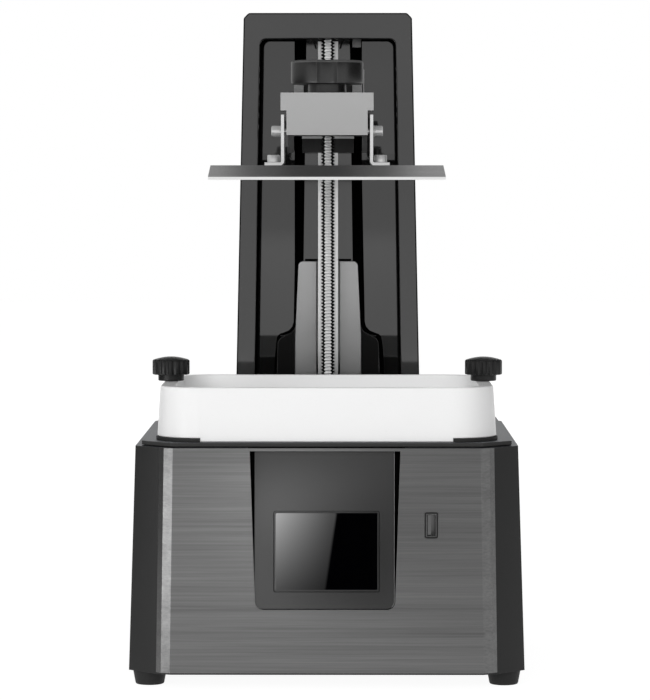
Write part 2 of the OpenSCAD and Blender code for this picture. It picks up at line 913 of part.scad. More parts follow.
module lamp_lenses() color("#c8d0dc") {
  translate([0, work_y, light_z + 2])
    box(lamp_w - 8, lamp_d - 8, 1.5);
  at_lamps()
    translate([0, 0, light_z + 3.5 - EPS])
      intersection() {
        translate([0, 0, -lens_r / 2])
          sphere(lens_r);
        cylinder(h = lens_r, r = lens_r);
      }
  at_lamps()
    translate([0, 0, light_z + 1.2 + fit])
      cylinder(h = 1, r = lens_r / 2);
}

module lamp_board() color("#e8e8e4") {
  translate([0, work_y, lamp_z])
    box(lamp_w, lamp_d, lamp_t);
  at_lamps()
    translate([0, 0, light_z - EPS])
      box(3, 3, 1.2);
}

module heat_sink() color("#9a9da0") {
  pitch = (sink_w - fin_t) / (sink_fins - 1);
  translate([0, work_y, lamp_z - sink_base])
    box(sink_w, sink_d, sink_base);
  for (i = [0 : sink_fins - 1])
    translate([-sink_w / 2 + fin_t / 2 + i * pitch, work_y, sink_z])
      box(fin_t, sink_d, sink_h - sink_base + EPS);
}

// An axial fan lying on z = 0, its hub on the z axis
module fan_housing(w, t) {
  hub_d = w * 0.5;
  strut_t = 2;
  difference() {
    rounded_plate(w, w, 3, t);
    translate([0, 0, -1])
      cylinder(h = t + 2, d = w - 4);
    for (x = [-1, 1], y = [-1, 1])
      translate([x * (w / 2 - 4), y * (w / 2 - 4), -1])
        cylinder(h = t + 2, d = 3.4);
  }
  cylinder(h = strut_t, d = hub_d);
  for (turn = [0 : 3])
    rotate([0, 0, 45 + 90 * turn])
      translate([0, -1.5, 0])
        cube([w / 2 - 1.5, 3, strut_t]);
  cylinder(h = t - 2, d = 3);
}

module fan_rotor(w, t) {
  hub_d = w * 0.5;
  tip_r = w / 2 - 2 - 2 * gap;
  low = 2 + gap;
  difference() {
    union() {
      translate([0, 0, low])
        cylinder(h = t - low - gap, d = hub_d);
      intersection() {
        for (turn = [0 : 6])
          rotate([0, 0, turn * 360 / 7])
            translate([0, 0, (t + low - gap) / 2])
              rotate([38, 0, 0])
                translate([hub_d / 2 - 1, -t / 2, -0.7])
                  cube([w / 2, t, 1.4]);
        translate([0, 0, low])
          cylinder(h = t - low - gap, r = tip_r);
      }
    }
    translate([0, 0, -1])
      cylinder(h = t - 1 + gap, d = 3 + 2 * run);
  }
}

module at_cooling_fan() {
  translate([0, work_y, fan_z])
    children();
}

module cooling_fan_frame() color("#1a1a1a") {
  at_cooling_fan()
    fan_housing(fan_w, fan_t);
}

module cooling_fan_rotor() color("#262626") {
  at_cooling_fan()
    fan_rotor(fan_w, fan_t);
}

// ---------------- boards and power

floor_z = base_z + bottom_t;
board_margin = 15;
board_x = -base_w / 2 + shell_wall + side_draft + board_w / 2 + board_margin;
board_y = base_d / 2 - shell_wall - rear_t - board_d / 2 - 18;
board_z = floor_z + standoff_h;
supply_w = base_w - 2 * (shell_wall + side_draft + board_margin) - board_w - boards_gap;
supply_x = base_w / 2 - shell_wall - side_draft - supply_w / 2 - board_margin;
supply_y = board_y;

module at_board_corners() {
  for (x = [-1, 1], y = [-1, 1])
    translate([board_x + x * (board_w / 2 - 4), board_y + y * (board_d / 2 - 4), 0])
      children();
}

module board_standoffs() color("#b08d4a") {
  at_board_corners()
    translate([0, 0, floor_z])
      cylinder(h = standoff_h, d = 5);
}

module main_board() color("#1d3b2a") {
  difference() {
    translate([board_x, board_y, board_z])
      box(board_w, board_d, 1.6);
    at_board_corners()
      translate([0, 0, board_z - 1])
        cylinder(h = 4, d = 3.2);
  }
  translate([board_x, board_y, board_z + 1.6 - EPS]) {
    box(16, 16, 2.4);
    for (i = [-2 : 2])
      translate([i * board_w / 6, board_d / 2 - 7, 0])
        box(10, 6, 8);
    translate([board_w / 4, -board_d / 5, 0])
      box(12, 8, 1.8);
    translate([-board_w / 4, -board_d / 5, 0])
      cylinder(h = 9, d = 8);
  }
}

module power_supply() color("#8d9093") {
  translate([supply_x, supply_y, floor_z])
    difference() {
      box(supply_w, supply_d, supply_h);
      for (i = [-3 : 3], j = [-2 : 2])
        translate([i * supply_w / 9, j * supply_d / 7, supply_h - 1])
          cylinder(h = 2, d = 4);
      translate([0, supply_d / 2, supply_h / 3])
        box(supply_w * 0.7, 12, supply_h);
    }
}

// ---------------- rear

module rear_panel() color("#2e2e2e") {
  exhaust_z = base_z + exhaust_up;
  difference() {
    intersection() {
      base_form(side = shell_wall + 1, front = shell_wall + panel_t, rear = shell_wall + fit,
                low = rear_low - rear_lap, high = rear_high + rear_lap);
      translate([0, base_d / 2, 0])
        box(rear_w + 2 * rear_lap, shell_wall * 8, base_top);
    }
    base_form(side = -2, front = -2, rear = shell_wall + fit + rear_t, low = base_z, high = base_top);
    on_rear(inlet_x, base_z + inlet_up, shell_wall * 3)
      box(inlet_w - 3, inlet_h - 3, shell_wall * 4);
    on_rear(exhaust_x, exhaust_z, shell_wall * 3)
      fan_grille(exhaust_w - 6, shell_wall * 4);
  }
}

// Rings of slots that leave four spokes
module fan_grille(d, h) {
  rings = 5;
  step = d / 2 / rings;
  difference() {
    for (i = [1 : rings - 1])
      difference() {
        cylinder(h = h, r = (i + 1) * step);
        translate([0, 0, -1])
          cylinder(h = h + 2, r = (i + 1) * step - step * 0.6);
      }
    for (turn = [0, 90])
      rotate([0, 0, 45 + turn])
        translate([0, 0, h / 2])
          cube([d + 2, 2.4, h + 2], center = true);
  }
}

module at_exhaust_fan() {
  on_rear(exhaust_x, base_z + exhaust_up, shell_wall + rear_t + exhaust_t + 2 * fit)
    children();
}

module exhaust_fan_frame() color("#1a1a1a") {
  at_exhaust_fan()
    fan_housing(exhaust_w, exhaust_t);
}

module exhaust_fan_rotor() color("#262626") {
  at_exhaust_fan()
    fan_rotor(exhaust_w, exhaust_t);
}

// The inlet and the switch share one snap-in housing
inlet_flange = 1.6;
inlet_depth = 24;
socket_hole = [24.4, 16.4, 20];
rocker_r = 9;
rocker_w = 9;
inlet_seat = shell_wall - inlet_flange;
socket_shift = -7;
rocker_shift = 16;
rocker_set = 3;
rocker_axle_d = 2;
rocker_axle_l = rocker_w + 3;

module mains_inlet() color("#161616") {
  on_rear(inlet_x, base_z + inlet_up, inlet_seat)
    difference() {
      union() {
        translate([0, 0, -inlet_flange])
          rounded_plate(inlet_w, inlet_h, 2, inlet_flange);
        translate([0, 0, -inlet_depth])
          box(inlet_w - 3 - 2 * fit, inlet_h - 3 - 2 * fit, inlet_depth - EPS);
      }
      translate([socket_shift, 0, 2 - socket_hole[2]])
        difference() {
          rounded_plate(socket_hole[0], socket_hole[1], 3, socket_hole[2]);
          for (pin = [-1, 0, 1])
            translate([pin * 7, pin == 0 ? 2 : -2, -1])
              box(2, 4, 13);
        }
      translate([rocker_shift, 0, -12])
        box(rocker_w + 2 * gap, 2 * rocker_r + 2 * gap, 14);
      translate([rocker_shift, 0, -rocker_set])
        rotate([0, 90, 0])
          cylinder(h = rocker_axle_l + 2 * fit, d = rocker_axle_d + 2 * run, center = true);
    }
}

module at_rocker() {
  on_rear(inlet_x, base_z + inlet_up, inlet_seat)
    translate([rocker_shift, 0, -rocker_set])
      children();
}

module rocker_switch() color("#b02a22") {
  at_rocker() {
    rotate([rocker_swing / 2, 0, 0])
      intersection() {
        rotate([0, 90, 0])
          cylinder(h = rocker_w, r = rocker_r - gap, center = true);
        translate([0, 0, -2])
          box(rocker_w, rocker_r * 2, 5.2);
      }
    rotate([0, 90, 0])
      cylinder(h = rocker_axle_l, d = rocker_axle_d, center = true);
  }
}

// ---------------- tower

hood_back = hood_y + hood_d;
mouth_z = tower_top - mouth_lip;
liner_front = hood_y + hood_wall + fit;
liner_back = hood_y + liner_depth;
cover_vent_w = 38;

// Front view of the hood, moved inwards
module hood_outline(inset = 0) {
  top = tower_top - inset;
  top_w = hood_top_w / 2 - inset;
  low_w = hood_bottom_w / 2 - inset;
  cut = max(hood_chamfer - inset / 2, 0.5);
  polygon([
    [-low_w, deck_z], [low_w, deck_z], [top_w, top - cut], [top_w - cut, top],
    [-top_w + cut, top], [-top_w, top - cut]
  ]);
}

// Front view of the hood's opening, grown outwards
module mouth_outline(grow = 0) {
  top = mouth_z + grow;
  top_w = mouth_top_w / 2 + grow;
  low_w = mouth_bottom_w / 2 + grow;
  r = mouth_r + grow;
  union() {
    polygon([
      [-low_w, deck_z - 1], [low_w, deck_z - 1], [top_w, top - r], [top_w - r, top],
      [-top_w + r, top], [-top_w, top - r]
    ]);
    for (side = [-1, 1])
      translate([side * (top_w - r), top - r])
        circle(r);
  }
}

module above_deck() {
  translate([0, 0, deck_z])
    linear_extrude(tower_h + 1)
      square(REACH * 2, center = true);
}

module tower_hood() color("#4f4f4f") {
  difference() {
    upright(hood_y, hood_back)
      hood_outline();
    translate([0, 0, -EPS])
      upright(hood_y + hood_wall, hood_back + 1)
        hood_outline(hood_wall);
    upright(hood_y - 1, hood_y + hood_wall + 1)
      mouth_outline();
  }
}

module tower_rear_cover() color("#3a3a3a") {
  difference() {
    intersection() {
      upright(hood_back - hood_wall, hood_back)
        hood_outline(hood_wall + fit);
      above_deck();
    }
    for (i = [0 : 5])
      translate([0, hood_back, deck_z + tower_h * 0.72 + i * 7])
        box(cover_vent_w, hood_wall * 4, 3);
  }
}

module tower_liner() color("#444444") {
  difference() {
    intersection() {
      upright(liner_front, liner_back + liner_t)
        mouth_outline(liner_t);
      above_deck();
    }
    upright(liner_front - 1, liner_back)
      mouth_outline();
    translate([0, liner_back, 0])
      box(liner_gap_w, liner_t * 4, tower_top);
    translate([0, liner_back, mouth_z - 1])
      box(liner_gap_w, (liner_back - liner_front - 2) * 2, liner_t + 2);
  }
}

module tower_plate() color("#8d9093") {
  low = base_top - tower_plate_t;
  difference() {
    translate([0, (hood_y - 9 + hood_back - 12) / 2, low])
      box(hood_bottom_w, hood_d - 3, tower_plate_t);
    translate([0, screw_y, low - 1])
      cylinder(h = tower_plate_t + 2, d = motor_shaft_d + 4);
    translate([0, screw_y, low - 1])
      cylinder(h = 3, d = motor_w / 2 + 1 + 2 * fit);
  }
}

// ---------------- motor and lead screw

motor_z = base_top - tower_plate_t - motor_h;
coupler_z = deck_z + coupler_up;
screw_z = coupler_z + coupler_l / 2 + 0.5;
block_z = mouth_z + 1.8;
boss_drop = 6.5;

module lift_motor() color("#3c3c3e") {
  cut = 4;
  body = motor_w / 2;
  difference() {
    union() {
      translate([0, screw_y, motor_z])
        linear_extrude(motor_h)
          polygon([
            [-body + cut, -body], [body - cut, -body], [body, -body + cut], [body, body - cut],
            [body - cut, body], [-body + cut, body], [-body, body - cut], [-body, -body + cut]
          ]);
      translate([0, screw_y, motor_z + motor_h - EPS])
        cylinder(h = 2 - fit, d = motor_w / 2 + 1);
    }
    translate([0, screw_y, motor_z + motor_h / 4])
      cylinder(h = motor_h, d = motor_shaft_d + 2 * run);
    for (x = [-1, 1], y = [-1, 1])
      translate([x * 15.5, screw_y + y * 15.5, motor_z + motor_h - 4])
        cylinder(h = 5, d = 3);
    for (level = [0.25, 0.75])
      translate([0, screw_y, motor_z + motor_h * level - 0.5])
        difference() {
          box(motor_w + 2, motor_w + 2, 1);
          box(motor_w - 1, motor_w - 1, 1);
        }
  }
}

module motor_shaft() color("#c8c8c8") {
  low = motor_z + motor_h / 4 + gap;
  translate([0, screw_y, low])
    cylinder(h = coupler_z + coupler_l / 2 - 0.5 - low, d = motor_shaft_d);
}

module shaft_coupler() color("#b4b6ba") {
  difference() {
    translate([0, screw_y, coupler_z])
      cylinder(h = coupler_l, d = coupler_d);
    translate([0, screw_y, coupler_z - 1])
      cylinder(h = coupler_l / 2 + 1, d = motor_shaft_d + 2 * run);
    translate([0, screw_y, coupler_z + coupler_l / 2 - EPS])
      cylinder(h = coupler_l / 2 + 1, d = screw_d + 2 * run);
    for (level = [0.2, 0.8])
      translate([0, screw_y, coupler_z + coupler_l * level])
        rotate([90, 0, 0])
          cylinder(h = coupler_d, d = 3);
  }
}

module lead_screw() color("#c0c2c6") {
  translate([0, screw_y, screw_z])
    cylinder(h = block_z + bearing_t + 1.5 - screw_z, d = screw_d);
}

module top_bearing_block() color("#565656") {
  w = liner_gap_w - 0.6;
  y_from = hood_y + hood_wall + 1.5;
  y_to = column_y + column_d;
  h = bearing_t + 1;
  difference() {
    union() {
      translate([0, (y_from + y_to) / 2, block_z])
        box(w, y_to - y_from, h);
      translate([0, screw_y, block_z - boss_drop])
        cylinder(h = boss_drop + EPS, r1 = bearing_d * 0.33, r2 = bearing_d * 0.49);
    }
    translate([0, screw_y, block_z + 1])
      cylinder(h = bearing_t + 1, d = bearing_d + 2 * fit);
    translate([0, screw_y, block_z - boss_drop - 1])
      cylinder(h = boss_drop + 3, d = screw_d + 2);
  }
}

module top_bearing() color("#b0b2b6") {
  translate([0, screw_y, block_z + 1])
    difference() {
      cylinder(h = bearing_t, d = bearing_d);
      translate([0, 0, -1])
        cylinder(h = bearing_t + 2, d = screw_d + 2 * run);
      translate([0, 0, bearing_t - 0.5])
        difference() {
          cylinder(h = 1, d = bearing_d - 4);
          cylinder(h = 1, d = screw_d + 5);
        }
    }
}

module limit_switch() color("#6a6a6a") {
  w = 5.2;
  d = 12;
  translate([(post_gap + w) / 2, arm_y + arm_back / 2, switch_z])
    box(w, d, block_z - switch_z);
}

// ---------------- column and rail

column_top = block_z;
foot_plate_t = 4;
rail_low = deck_z + foot_plate_t * 2;
rail_high = block_z - 1.8;

module column() color("#3f3f41") {
  translate([0, column_y + column_d / 2, deck_z])
    linear_extrude(column_top - deck_z)
      difference() {
        square([column_w, column_d], center = true);
        square([column_w - 6, column_d - 8], center = true);
        for (side = [-1, 1])
          translate([side * column_w / 2, 0])
            square([3, 6], center = true);
      }
}

// Front view of the cover: a neck that widens to a shoulder, then runs straight down
module cover_outline(grow = 0) {
  r = 3;
  top = deck_z + cover_h + grow;
  top_w = cover_top_w / 2 + grow;
  low_w = cover_low_w / 2 + grow;
  union() {
    polygon([
      [-low_w, deck_z], [low_w, deck_z], [low_w, deck_z + shoulder_h], [top_w, top - r],
      [top_w - r, top], [-top_w + r, top], [-top_w, top - r], [-low_w, deck_z + shoulder_h]
    ]);
    for (side = [-1, 1])
      translate([side * (top_w - r), top - r])
        circle(r);
  }
}

cover_back = column_y + column_d * 0.72;

module cover_form(grow = 0) {
  upright(column_y - cover_t - grow, cover_back + grow)
    cover_outline(grow);
}

module column_cover() color("#858585") {
  difference() {
    cover_form();
    translate([0, column_y + column_d - fit, deck_z - 1])
      box(column_w + 2 * fit, column_d * 2, cover_h + 2);
    translate([0, column_y, rail_low - gap])
      box(rail_w + 2, column_d, cover_h);
    translate([0, column_y, deck_z - 1])
      box(cast_w, column_d * 2, foot_plate_t + 1 + fit);
  }
}

module column_foot() color("#1e1e1e") {
  y_from = column_y + 4;
  y_to = liner_back - 0.5;
  ear_x = cast_w / 2;
  neck_x = cover_low_w / 2;
  ear_r = 5;
  top = deck_z + cast_h;
  difference() {
    union() {
      upright(y_from, y_to) {
        difference() {
          union() {
            translate([-ear_x, deck_z])
              square([cast_w, cast_h - ear_r]);
            translate([-ear_x + ear_r, deck_z])
              square([cast_w - 2 * ear_r, cast_h]);
            for (side = [-1, 1])
              translate([side * (ear_x - ear_r), top - ear_r])
                circle(ear_r);
            translate([-neck_x - cast_r, top - EPS])
              square([2 * (neck_x + cast_r), cast_r]);
          }
          for (side = [-1, 1])
            translate([side * (neck_x + cast_r), top + cast_r])
              circle(cast_r);
        }
      }
      translate([0, (column_y - 5 + y_to) / 2, deck_z])
        box(cast_w, y_to - column_y + 5, foot_plate_t);
    }
    translate([0, 0, foot_plate_t])
      cover_form(fit);
    translate([0, column_y + column_d - fit, deck_z - 1])
      box(column_w + 2 * fit, column_d * 2, cast_h + cast_r + 2);
  }
}

module rail_profile() {
  neck = rail_w / 2 - 1.2;
  polygon([
    [-rail_w / 2, 0], [rail_w / 2, 0], [rail_w / 2, rail_h * 0.3], [neck, rail_h * 0.45],
    [neck, rail_h * 0.7], [rail_w / 2, rail_h * 0.85], [rail_w / 2, rail_h], [-rail_w / 2, rail_h],
    [-rail_w / 2, rail_h * 0.85], [-neck, rail_h * 0.7], [-neck, rail_h * 0.45],
    [-rail_w / 2, rail_h * 0.3]
  ]);
}

module linear_rail() color("#c4c6ca") {
  length = rail_high - rail_low;
  holes = floor((length - 10) / rail_pitch);
  difference() {
    translate([0, column_y, rail_low])
      mirror([0, 1, 0])
        linear_extrude(length)
          rail_profile();
    for (i = [0 : holes])
      translate([0, column_y + 1, rail_low + (length - holes * rail_pitch) / 2 + i * rail_pitch])
        rotate([90, 0, 0]) {
          cylinder(h = rail_h + 2, d = 3.5);
          translate([0, 0, rail_h / 2])
            cylinder(h = rail_h, d = 6);
        }
  }
}

// ---------------- lift

plate_z = deck_z + plate_up;
carriage_z = plate_z + carriage_up;
rail_front = column_y - rail_h;
carriage_y = rail_front - carriage_t;
saddle_y = carriage_y - saddle_t;
arm_y = saddle_y - arm_back;
tongue_z = plate_z + tongue_up;
tongue_top = tongue_z + tongue_h;
post_top = plate_z + post_up;
switch_z = post_top + lift_up + gap;
block_y = work_y - block_d / 2;
block_back = work_y + block_d / 2;
tongue_y = block_y + block_front + gap;
flag_gap = 0.5;

module rail_carriage() color("#2a2c2e") {
  difference() {
    translate([0, (carriage_y + column_y - rail_h * 0.38) / 2, carriage_z])
      box(carriage_w, column_y - rail_h * 0.38 - carriage_y, carriage_l);
    translate([0, column_y, carriage_z - 1])
      box(rail_w + 2 * gap, 2 * (rail_h + gap), carriage_l + 2);
  }
}

module carriage_plate() color("#2a2a2a") {
  difference() {
    translate([0, saddle_y + saddle_t / 2, carriage_z])
      box(saddle_w, saddle_t, carriage_l);
    for (x = [-1, 1], z = [0.28, 0.72])
      translate([x * 10, carriage_y + 1, carriage_z + carriage_l * z])
        rotate([90, 0, 0])
          cylinder(h = saddle_t + 2, d = 3.4);
  }
}

module platform_arm() color("#9a9a9a") {
  web_front = block_back + 5;
  web_w = cheek_w - 2 * cheek_t;
  difference() {
    union() {
      translate([0, (tongue_y + saddle_y) / 2, tongue_z])
        box(tongue_w, saddle_y - tongue_y, tongue_h);
      translate([0, (web_front + saddle_y) / 2, tongue_z])
        box(web_w + EPS, saddle_y - web_front, tongue_h);
      for (side = [-1, 1])
        translate([side * (cheek_w - cheek_t) / 2, 0, 0])
          sideways(cheek_t)
            polygon([
              [saddle_y, carriage_z], [saddle_y - 4, carriage_z], [saddle_y - 24, tongue_z],
              [web_front, tongue_z], [web_front, tongue_top], [saddle_y, tongue_top + 4]
            ]);
      for (side = [-1, 1])
        translate([side * (post_w + post_gap) / 4, arm_y + arm_back / 2, tongue_z])
          box((post_w - post_gap) / 2, arm_back, post_top - tongue_z);
      translate([0, arm_y + arm_back / 2, tongue_z])
        box(post_w, arm_back, tongue_h + 4);
      translate([post_w / 2 + flag_gap + flag_t / 2, arm_y + arm_back / 2, tongue_z])
        box(flag_t, arm_back, post_top - tongue_z);
    }
    translate([0, screw_y, tongue_z - 1])
      cylinder(h = tongue_h + 8, d = nut_body_d + 2 * fit);
    translate([0, screw_y, tongue_top])
      cylinder(h = 8, d = nut_body_d * 2.2 + 2 * fit);
    for (x = [-1, 1])
      translate([x * 8, screw_y, tongue_z - 1])
        cylinder(h = tongue_h + 2, d = 3);
  }
}

nut_body_d = screw_d + 2.2;

module lead_nut() color("#b8954f") {
  difference() {
    translate([0, screw_y, 0]) {
      translate([0, 0, tongue_z])
        cylinder(h = tongue_h + EPS, d = nut_body_d);
      translate([0, 0, tongue_top])
        cylinder(h = 3.5, d = nut_body_d * 2.2);
    }
    translate([0, screw_y, tongue_z - 1])
      cylinder(h = tongue_h + 6, d = screw_d + 2 * run);
    for (x = [-1, 1])
      translate([x * 8, screw_y, tongue_top - 1])
        cylinder(h = 6, d = 3.4);
  }
}

// ---------------- platform

pad_gap = 0.2;
clamp_travel = clamp_pitch * 1.45;
block_low = plate_z + block_up;
block_top = block_low + block_h;
block_roof = block_top - tongue_top - pad_t - clamp_travel - 2 * fit - pad_gap;
bracket_z = plate_z + plate_t;
bracket_x = block_low_w / 2 + bracket_gap;
side_screw_z = bracket_z + side_screw_up;
cap_x = bracket_x + bracket_t + (bracket_reach - bracket_t) / 2 + 0.6;

module at_side_screws() {
  for (side = [-1, 1], row = [-1, 1])
    translate([side * block_low_w / 2, work_y + row * screw_pitch / 2, side_screw_z])
      rotate([0, side * 90, 0])
        children();
}

module clamp_block() color("#b0b0b0") {
  cavity_low = tongue_z - 0.15;
  cavity_top = block_top - block_roof;
  difference() {
    union() {
      translate([0, work_y, block_low])
        box(block_low_w, block_d, block_low_h + EPS);
      translate([0, work_y, block_low + block_low_h])
        box(block_top_w, block_d, block_h - block_low_h);
    }
    translate([0, work_y + block_front, cavity_low])
      box(tongue_w + 0.3, block_d, cavity_top - cavity_low);
    translate([0, work_y, cavity_top - 1])
      cylinder(h = block_roof + 2, d = clamp_stud_d + 2 * run);
    at_side_screws()
      translate([0, 0, -6])
        cylinder(h = 7, d = 3 + 2 * fit);
  }
}

module side_screws() color("#c8c8c8") {
  seat = bracket_gap + bracket_t + fit;
  at_side_screws() {
    translate([0, 0, -5])
      cylinder(h = 5 + seat + 1, d = 3);
    translate([0, 0, fit])
      difference() {
        cylinder(h = bracket_gap - 2 * fit, d = 6.4);
        translate([0, 0, -1])
          cylinder(h = 4, d = 3 - EPS);
      }
    translate([0, 0, seat])
      difference() {
        union() {
          cylinder(h = 0.8, d = 6.4);
          cylinder(h = 0.8 + side_head_l, d = side_head_d);
        }
        translate([0, 0, side_head_l - 1.2])
          cylinder(h = 4, d = 3, $fn = 6);
      }
  }
}

// One angle bracket on the +X side, with upright levelling slots
module angle_bracket() {
  bend = bracket_t * 1.4;
  slot_l = 3.4 + level_travel;
  difference() {
    upright(work_y - bracket_d / 2, work_y + bracket_d / 2)
      union() {
        translate([bracket_x, bracket_z + bend])
          square([bracket_t, bracket_h - bend]);
        translate([bracket_x + bend, bracket_z])
          square([bracket_t + bracket_reach - bend, bracket_t]);
        translate([bracket_x + bend, bracket_z + bend])
          difference() {
            intersection() {
              circle(bend);
              translate([-bend, -bend])
                square(bend);
            }
            circle(max(bend - bracket_t, 0.2));
          }
        }
    for (row = [-1, 1]) {
      translate([bracket_x - 1, work_y + row * screw_pitch / 2, side_screw_z - level_travel])
        rotate([0, 90, 0]) {
          cylinder(h = bracket_t + 2, d = 3.6);
          translate([-level_travel, 0, 0])
            cylinder(h = bracket_t + 2, d = 3.6);
          translate([-level_travel, -1.8, 0])
            cube([level_travel, 3.6, bracket_t + 2]);
        }
      translate([cap_x, work_y + row * screw_pitch / 2, bracket_z - 1])
        cylinder(h = bracket_t + 2, d = 4.4);
    }
  }
}

module plate_brackets() color("#cfcfcf") {
  angle_bracket();
  mirror([1, 0, 0])
    angle_bracket();
}

module at_plate_screws() {
  for (side = [-1, 1], row = [-1, 1])
    translate([side * cap_x, work_y + row * screw_pitch / 2, bracket_z])
      children();
}

module plate_screws() color("#c8c8c8") {
  at_plate_screws()
    difference() {
      union() {
        translate([0, 0, -5])
          cylinder(h = 5 + bracket_t + 1, d = 4);
        translate([0, 0, bracket_t])
          cylinder(h = cap_head_h, d = cap_head_d);
      }
      translate([0, 0, bracket_t + cap_head_h - 2])
        cylinder(h = 3, d = 3.4, $fn = 6);
    }
}

module build_plate() color("#77797c") {
  slope_z = plate_z + plate_edge;
  w = plate_w - 2 * plate_slope;
  d = plate_d - 2 * plate_slope;
  difference() {
    translate([0, work_y, 0])
      union() {
        translate([0, 0, plate_z])
          box(plate_w, plate_d, plate_edge + EPS);
        taper_box(plate_w, plate_d, w, d, slope_z, bracket_z);
      }
    at_plate_screws()
      translate([0, 0, -5.5])
        cylinder(h = 6, d = 4 + 2 * fit);
  }
}

module pressure_pad() color("#8a8c90") {
  translate([0, work_y, tongue_top + pad_gap])
    difference() {
      cylinder(h = pad_t, d = pad_d);
      translate([0, 0, pad_t / 2])
        cylinder(h = pad_t, d = clamp_stud_d - 1 + 2 * run);
    }
}

module clamp_knob() color("#1f1f21") {
  collar_z = block_top + gap;
  lobe_z = collar_z + knob_collar_h;
  pad_z = tongue_top + pad_gap;
  translate([0, work_y, 0]) {
    difference() {
      union() {
        translate([0, 0, collar_z])
          cylinder(h = knob_collar_h + EPS, d = knob_collar_d);
        translate([0, 0, lobe_z])
          rotate_extrude()
            polygon([
              [0, 0], [knob_d / 2 - 1, 0], [knob_d / 2, 1], [knob_d / 2, knob_h - 2],
              [knob_d / 2 - 2, knob_h], [0, knob_h]
            ]);
      }
      for (i = [0 : knob_lobes - 1])
        rotate([0, 0, -90 + i * 360 / knob_lobes])
          translate([knob_d / 2 - lobe_depth + lobe_r, 0, lobe_z - 1])
            cylinder(h = knob_h + 2, r = lobe_r);
    }
    translate([0, 0, pad_z + pad_t + fit])
      cylinder(h = collar_z - pad_z - pad_t, d = clamp_stud_d);
    translate([0, 0, pad_z + pad_t / 2 + fit])
      cylinder(h = pad_t, d = clamp_stud_d - 1);
  }
}

// ---------------- vat

seat = 0.2;
vat_z = deck_z + seat;
vat_top = vat_z + vat_h;
film_z = mask_z + mask_t + 0.25;
flange_z = film_z + film_t + rib_h;
basin_low = flange_z + vat_wall;
basin_w = vat_w - 2 * vat_draft - 2 * rim_side;
basin_d = vat_d - 2 * vat_draft - 2 * rim_front;
basin_r = vat_r - rim_front - 2;

// A rounded box whose walls lean in by `slope` for each millimetre of height
module draft_box(w, d, r, slope, low, high) {
  s = slope * (high - low);
  translate([0, work_y, 0]) {
    taper_box(w - 2 * r, d, w - 2 * r, d - 2 * s, low, high);
    taper_box(w, d - 2 * r, w - 2 * s, d - 2 * r, low, high);
    for (x = [-1, 1], y = [-1, 1])
      translate([x * (w / 2 - r), y * (d / 2 - r), low])
        cylinder(h = high - low, r1 = r, r2 = r - s);
  }
}

module vat_form(inset, low, high) {
  slope = vat_draft / vat_h;
  s = inset + slope * (low - vat_z);
  draft_box(vat_w - 2 * s, vat_d - 2 * s, vat_r - s, slope, low, high);
}

module basin_form(grow, low, high) {
  slope = -basin_slope / (vat_top - basin_low);
  s = grow + slope * (vat_top - low);
  draft_box(basin_w + 2 * s, basin_d + 2 * s, basin_r + s, slope, low, high);
}

module vat_body() color("#efefef") {
  ring_w = film_w + 2 * (rib_w + frame_w);
  ring_d = film_d + 2 * (rib_w + frame_w);
  difference() {
    union() {
      difference() {
        vat_form(0, vat_z, vat_top);
        difference() {
          vat_form(vat_wall, vat_z - 1, vat_top - vat_wall);
          basin_form(vat_wall, flange_z, vat_top);
          at_vat_screws()
            translate([0, 0, vat_z])
              cylinder(h = vat_h, d = stud_d + 7);
        }
      }
      translate([0, work_y, flange_z])
        box(ring_w, ring_d, vat_wall);
      translate([0, work_y, film_z + film_t])
        difference() {
          box(film_w + 2 * rib_w, film_d + 2 * rib_w, rib_h + EPS);
          translate([0, 0, -1])
            box(film_w, film_d, rib_h + 4);
        }
    }
    basin_form(0, basin_low, vat_top + EPS);
    translate([0, work_y, film_z])
      box(film_w, film_d, vat_h / 2);
    at_vat_screws() {
      translate([0, 0, vat_z - 1])
        cylinder(h = vat_h + 2, d = stud_d + 0.6);
      translate([0, 0, vat_z - 1])
        cylinder(h = 11.5, d = stud_d + 4.4);
    }
    at_vat_corners()
      translate([0, 0, vat_z - 1])
        quarter_ring(vat_r + 1.5, vat_r - pad_w - 1, pad_h + 1);
  }
}

module release_film() color("#dfe6ea") {
  lip = rib_w + film_t;
  w = film_w + 2 * lip;
  d = film_d + 2 * lip;
  translate([0, work_y, film_z])
    difference() {
      union() {
        box(w, d, rib_h + film_t);
        translate([0, 0, rib_h])
          box(w + 2 * frame_w - 2, d + 2 * frame_w - 2, film_t);
      }
      translate([0, 0, film_t])
        box(film_w + 2 * rib_w + EPS, film_d + 2 * rib_w + EPS, rib_h + 2);
    }
}

module film_frame() color("#a4a6aa") {
  lip = rib_w + film_t + fit;
  w = film_w + 2 * lip;
  d = film_d + 2 * lip;
  top = film_z + rib_h - EPS;
  translate([0, work_y, top - frame_t])
    difference() {
      box(w + 2 * frame_w - 2, d + 2 * frame_w - 2, frame_t);
      translate([0, 0, -1])
        box(w, d, frame_t + 2);
    }
}

// ---------------- vat screws

ring_groove = 0.4;
ring_t = 0.8;
ring_z = vat_z + 3;
stud_low = deck_z - stud_reach + 0.5;
collar_low = vat_top + seat;

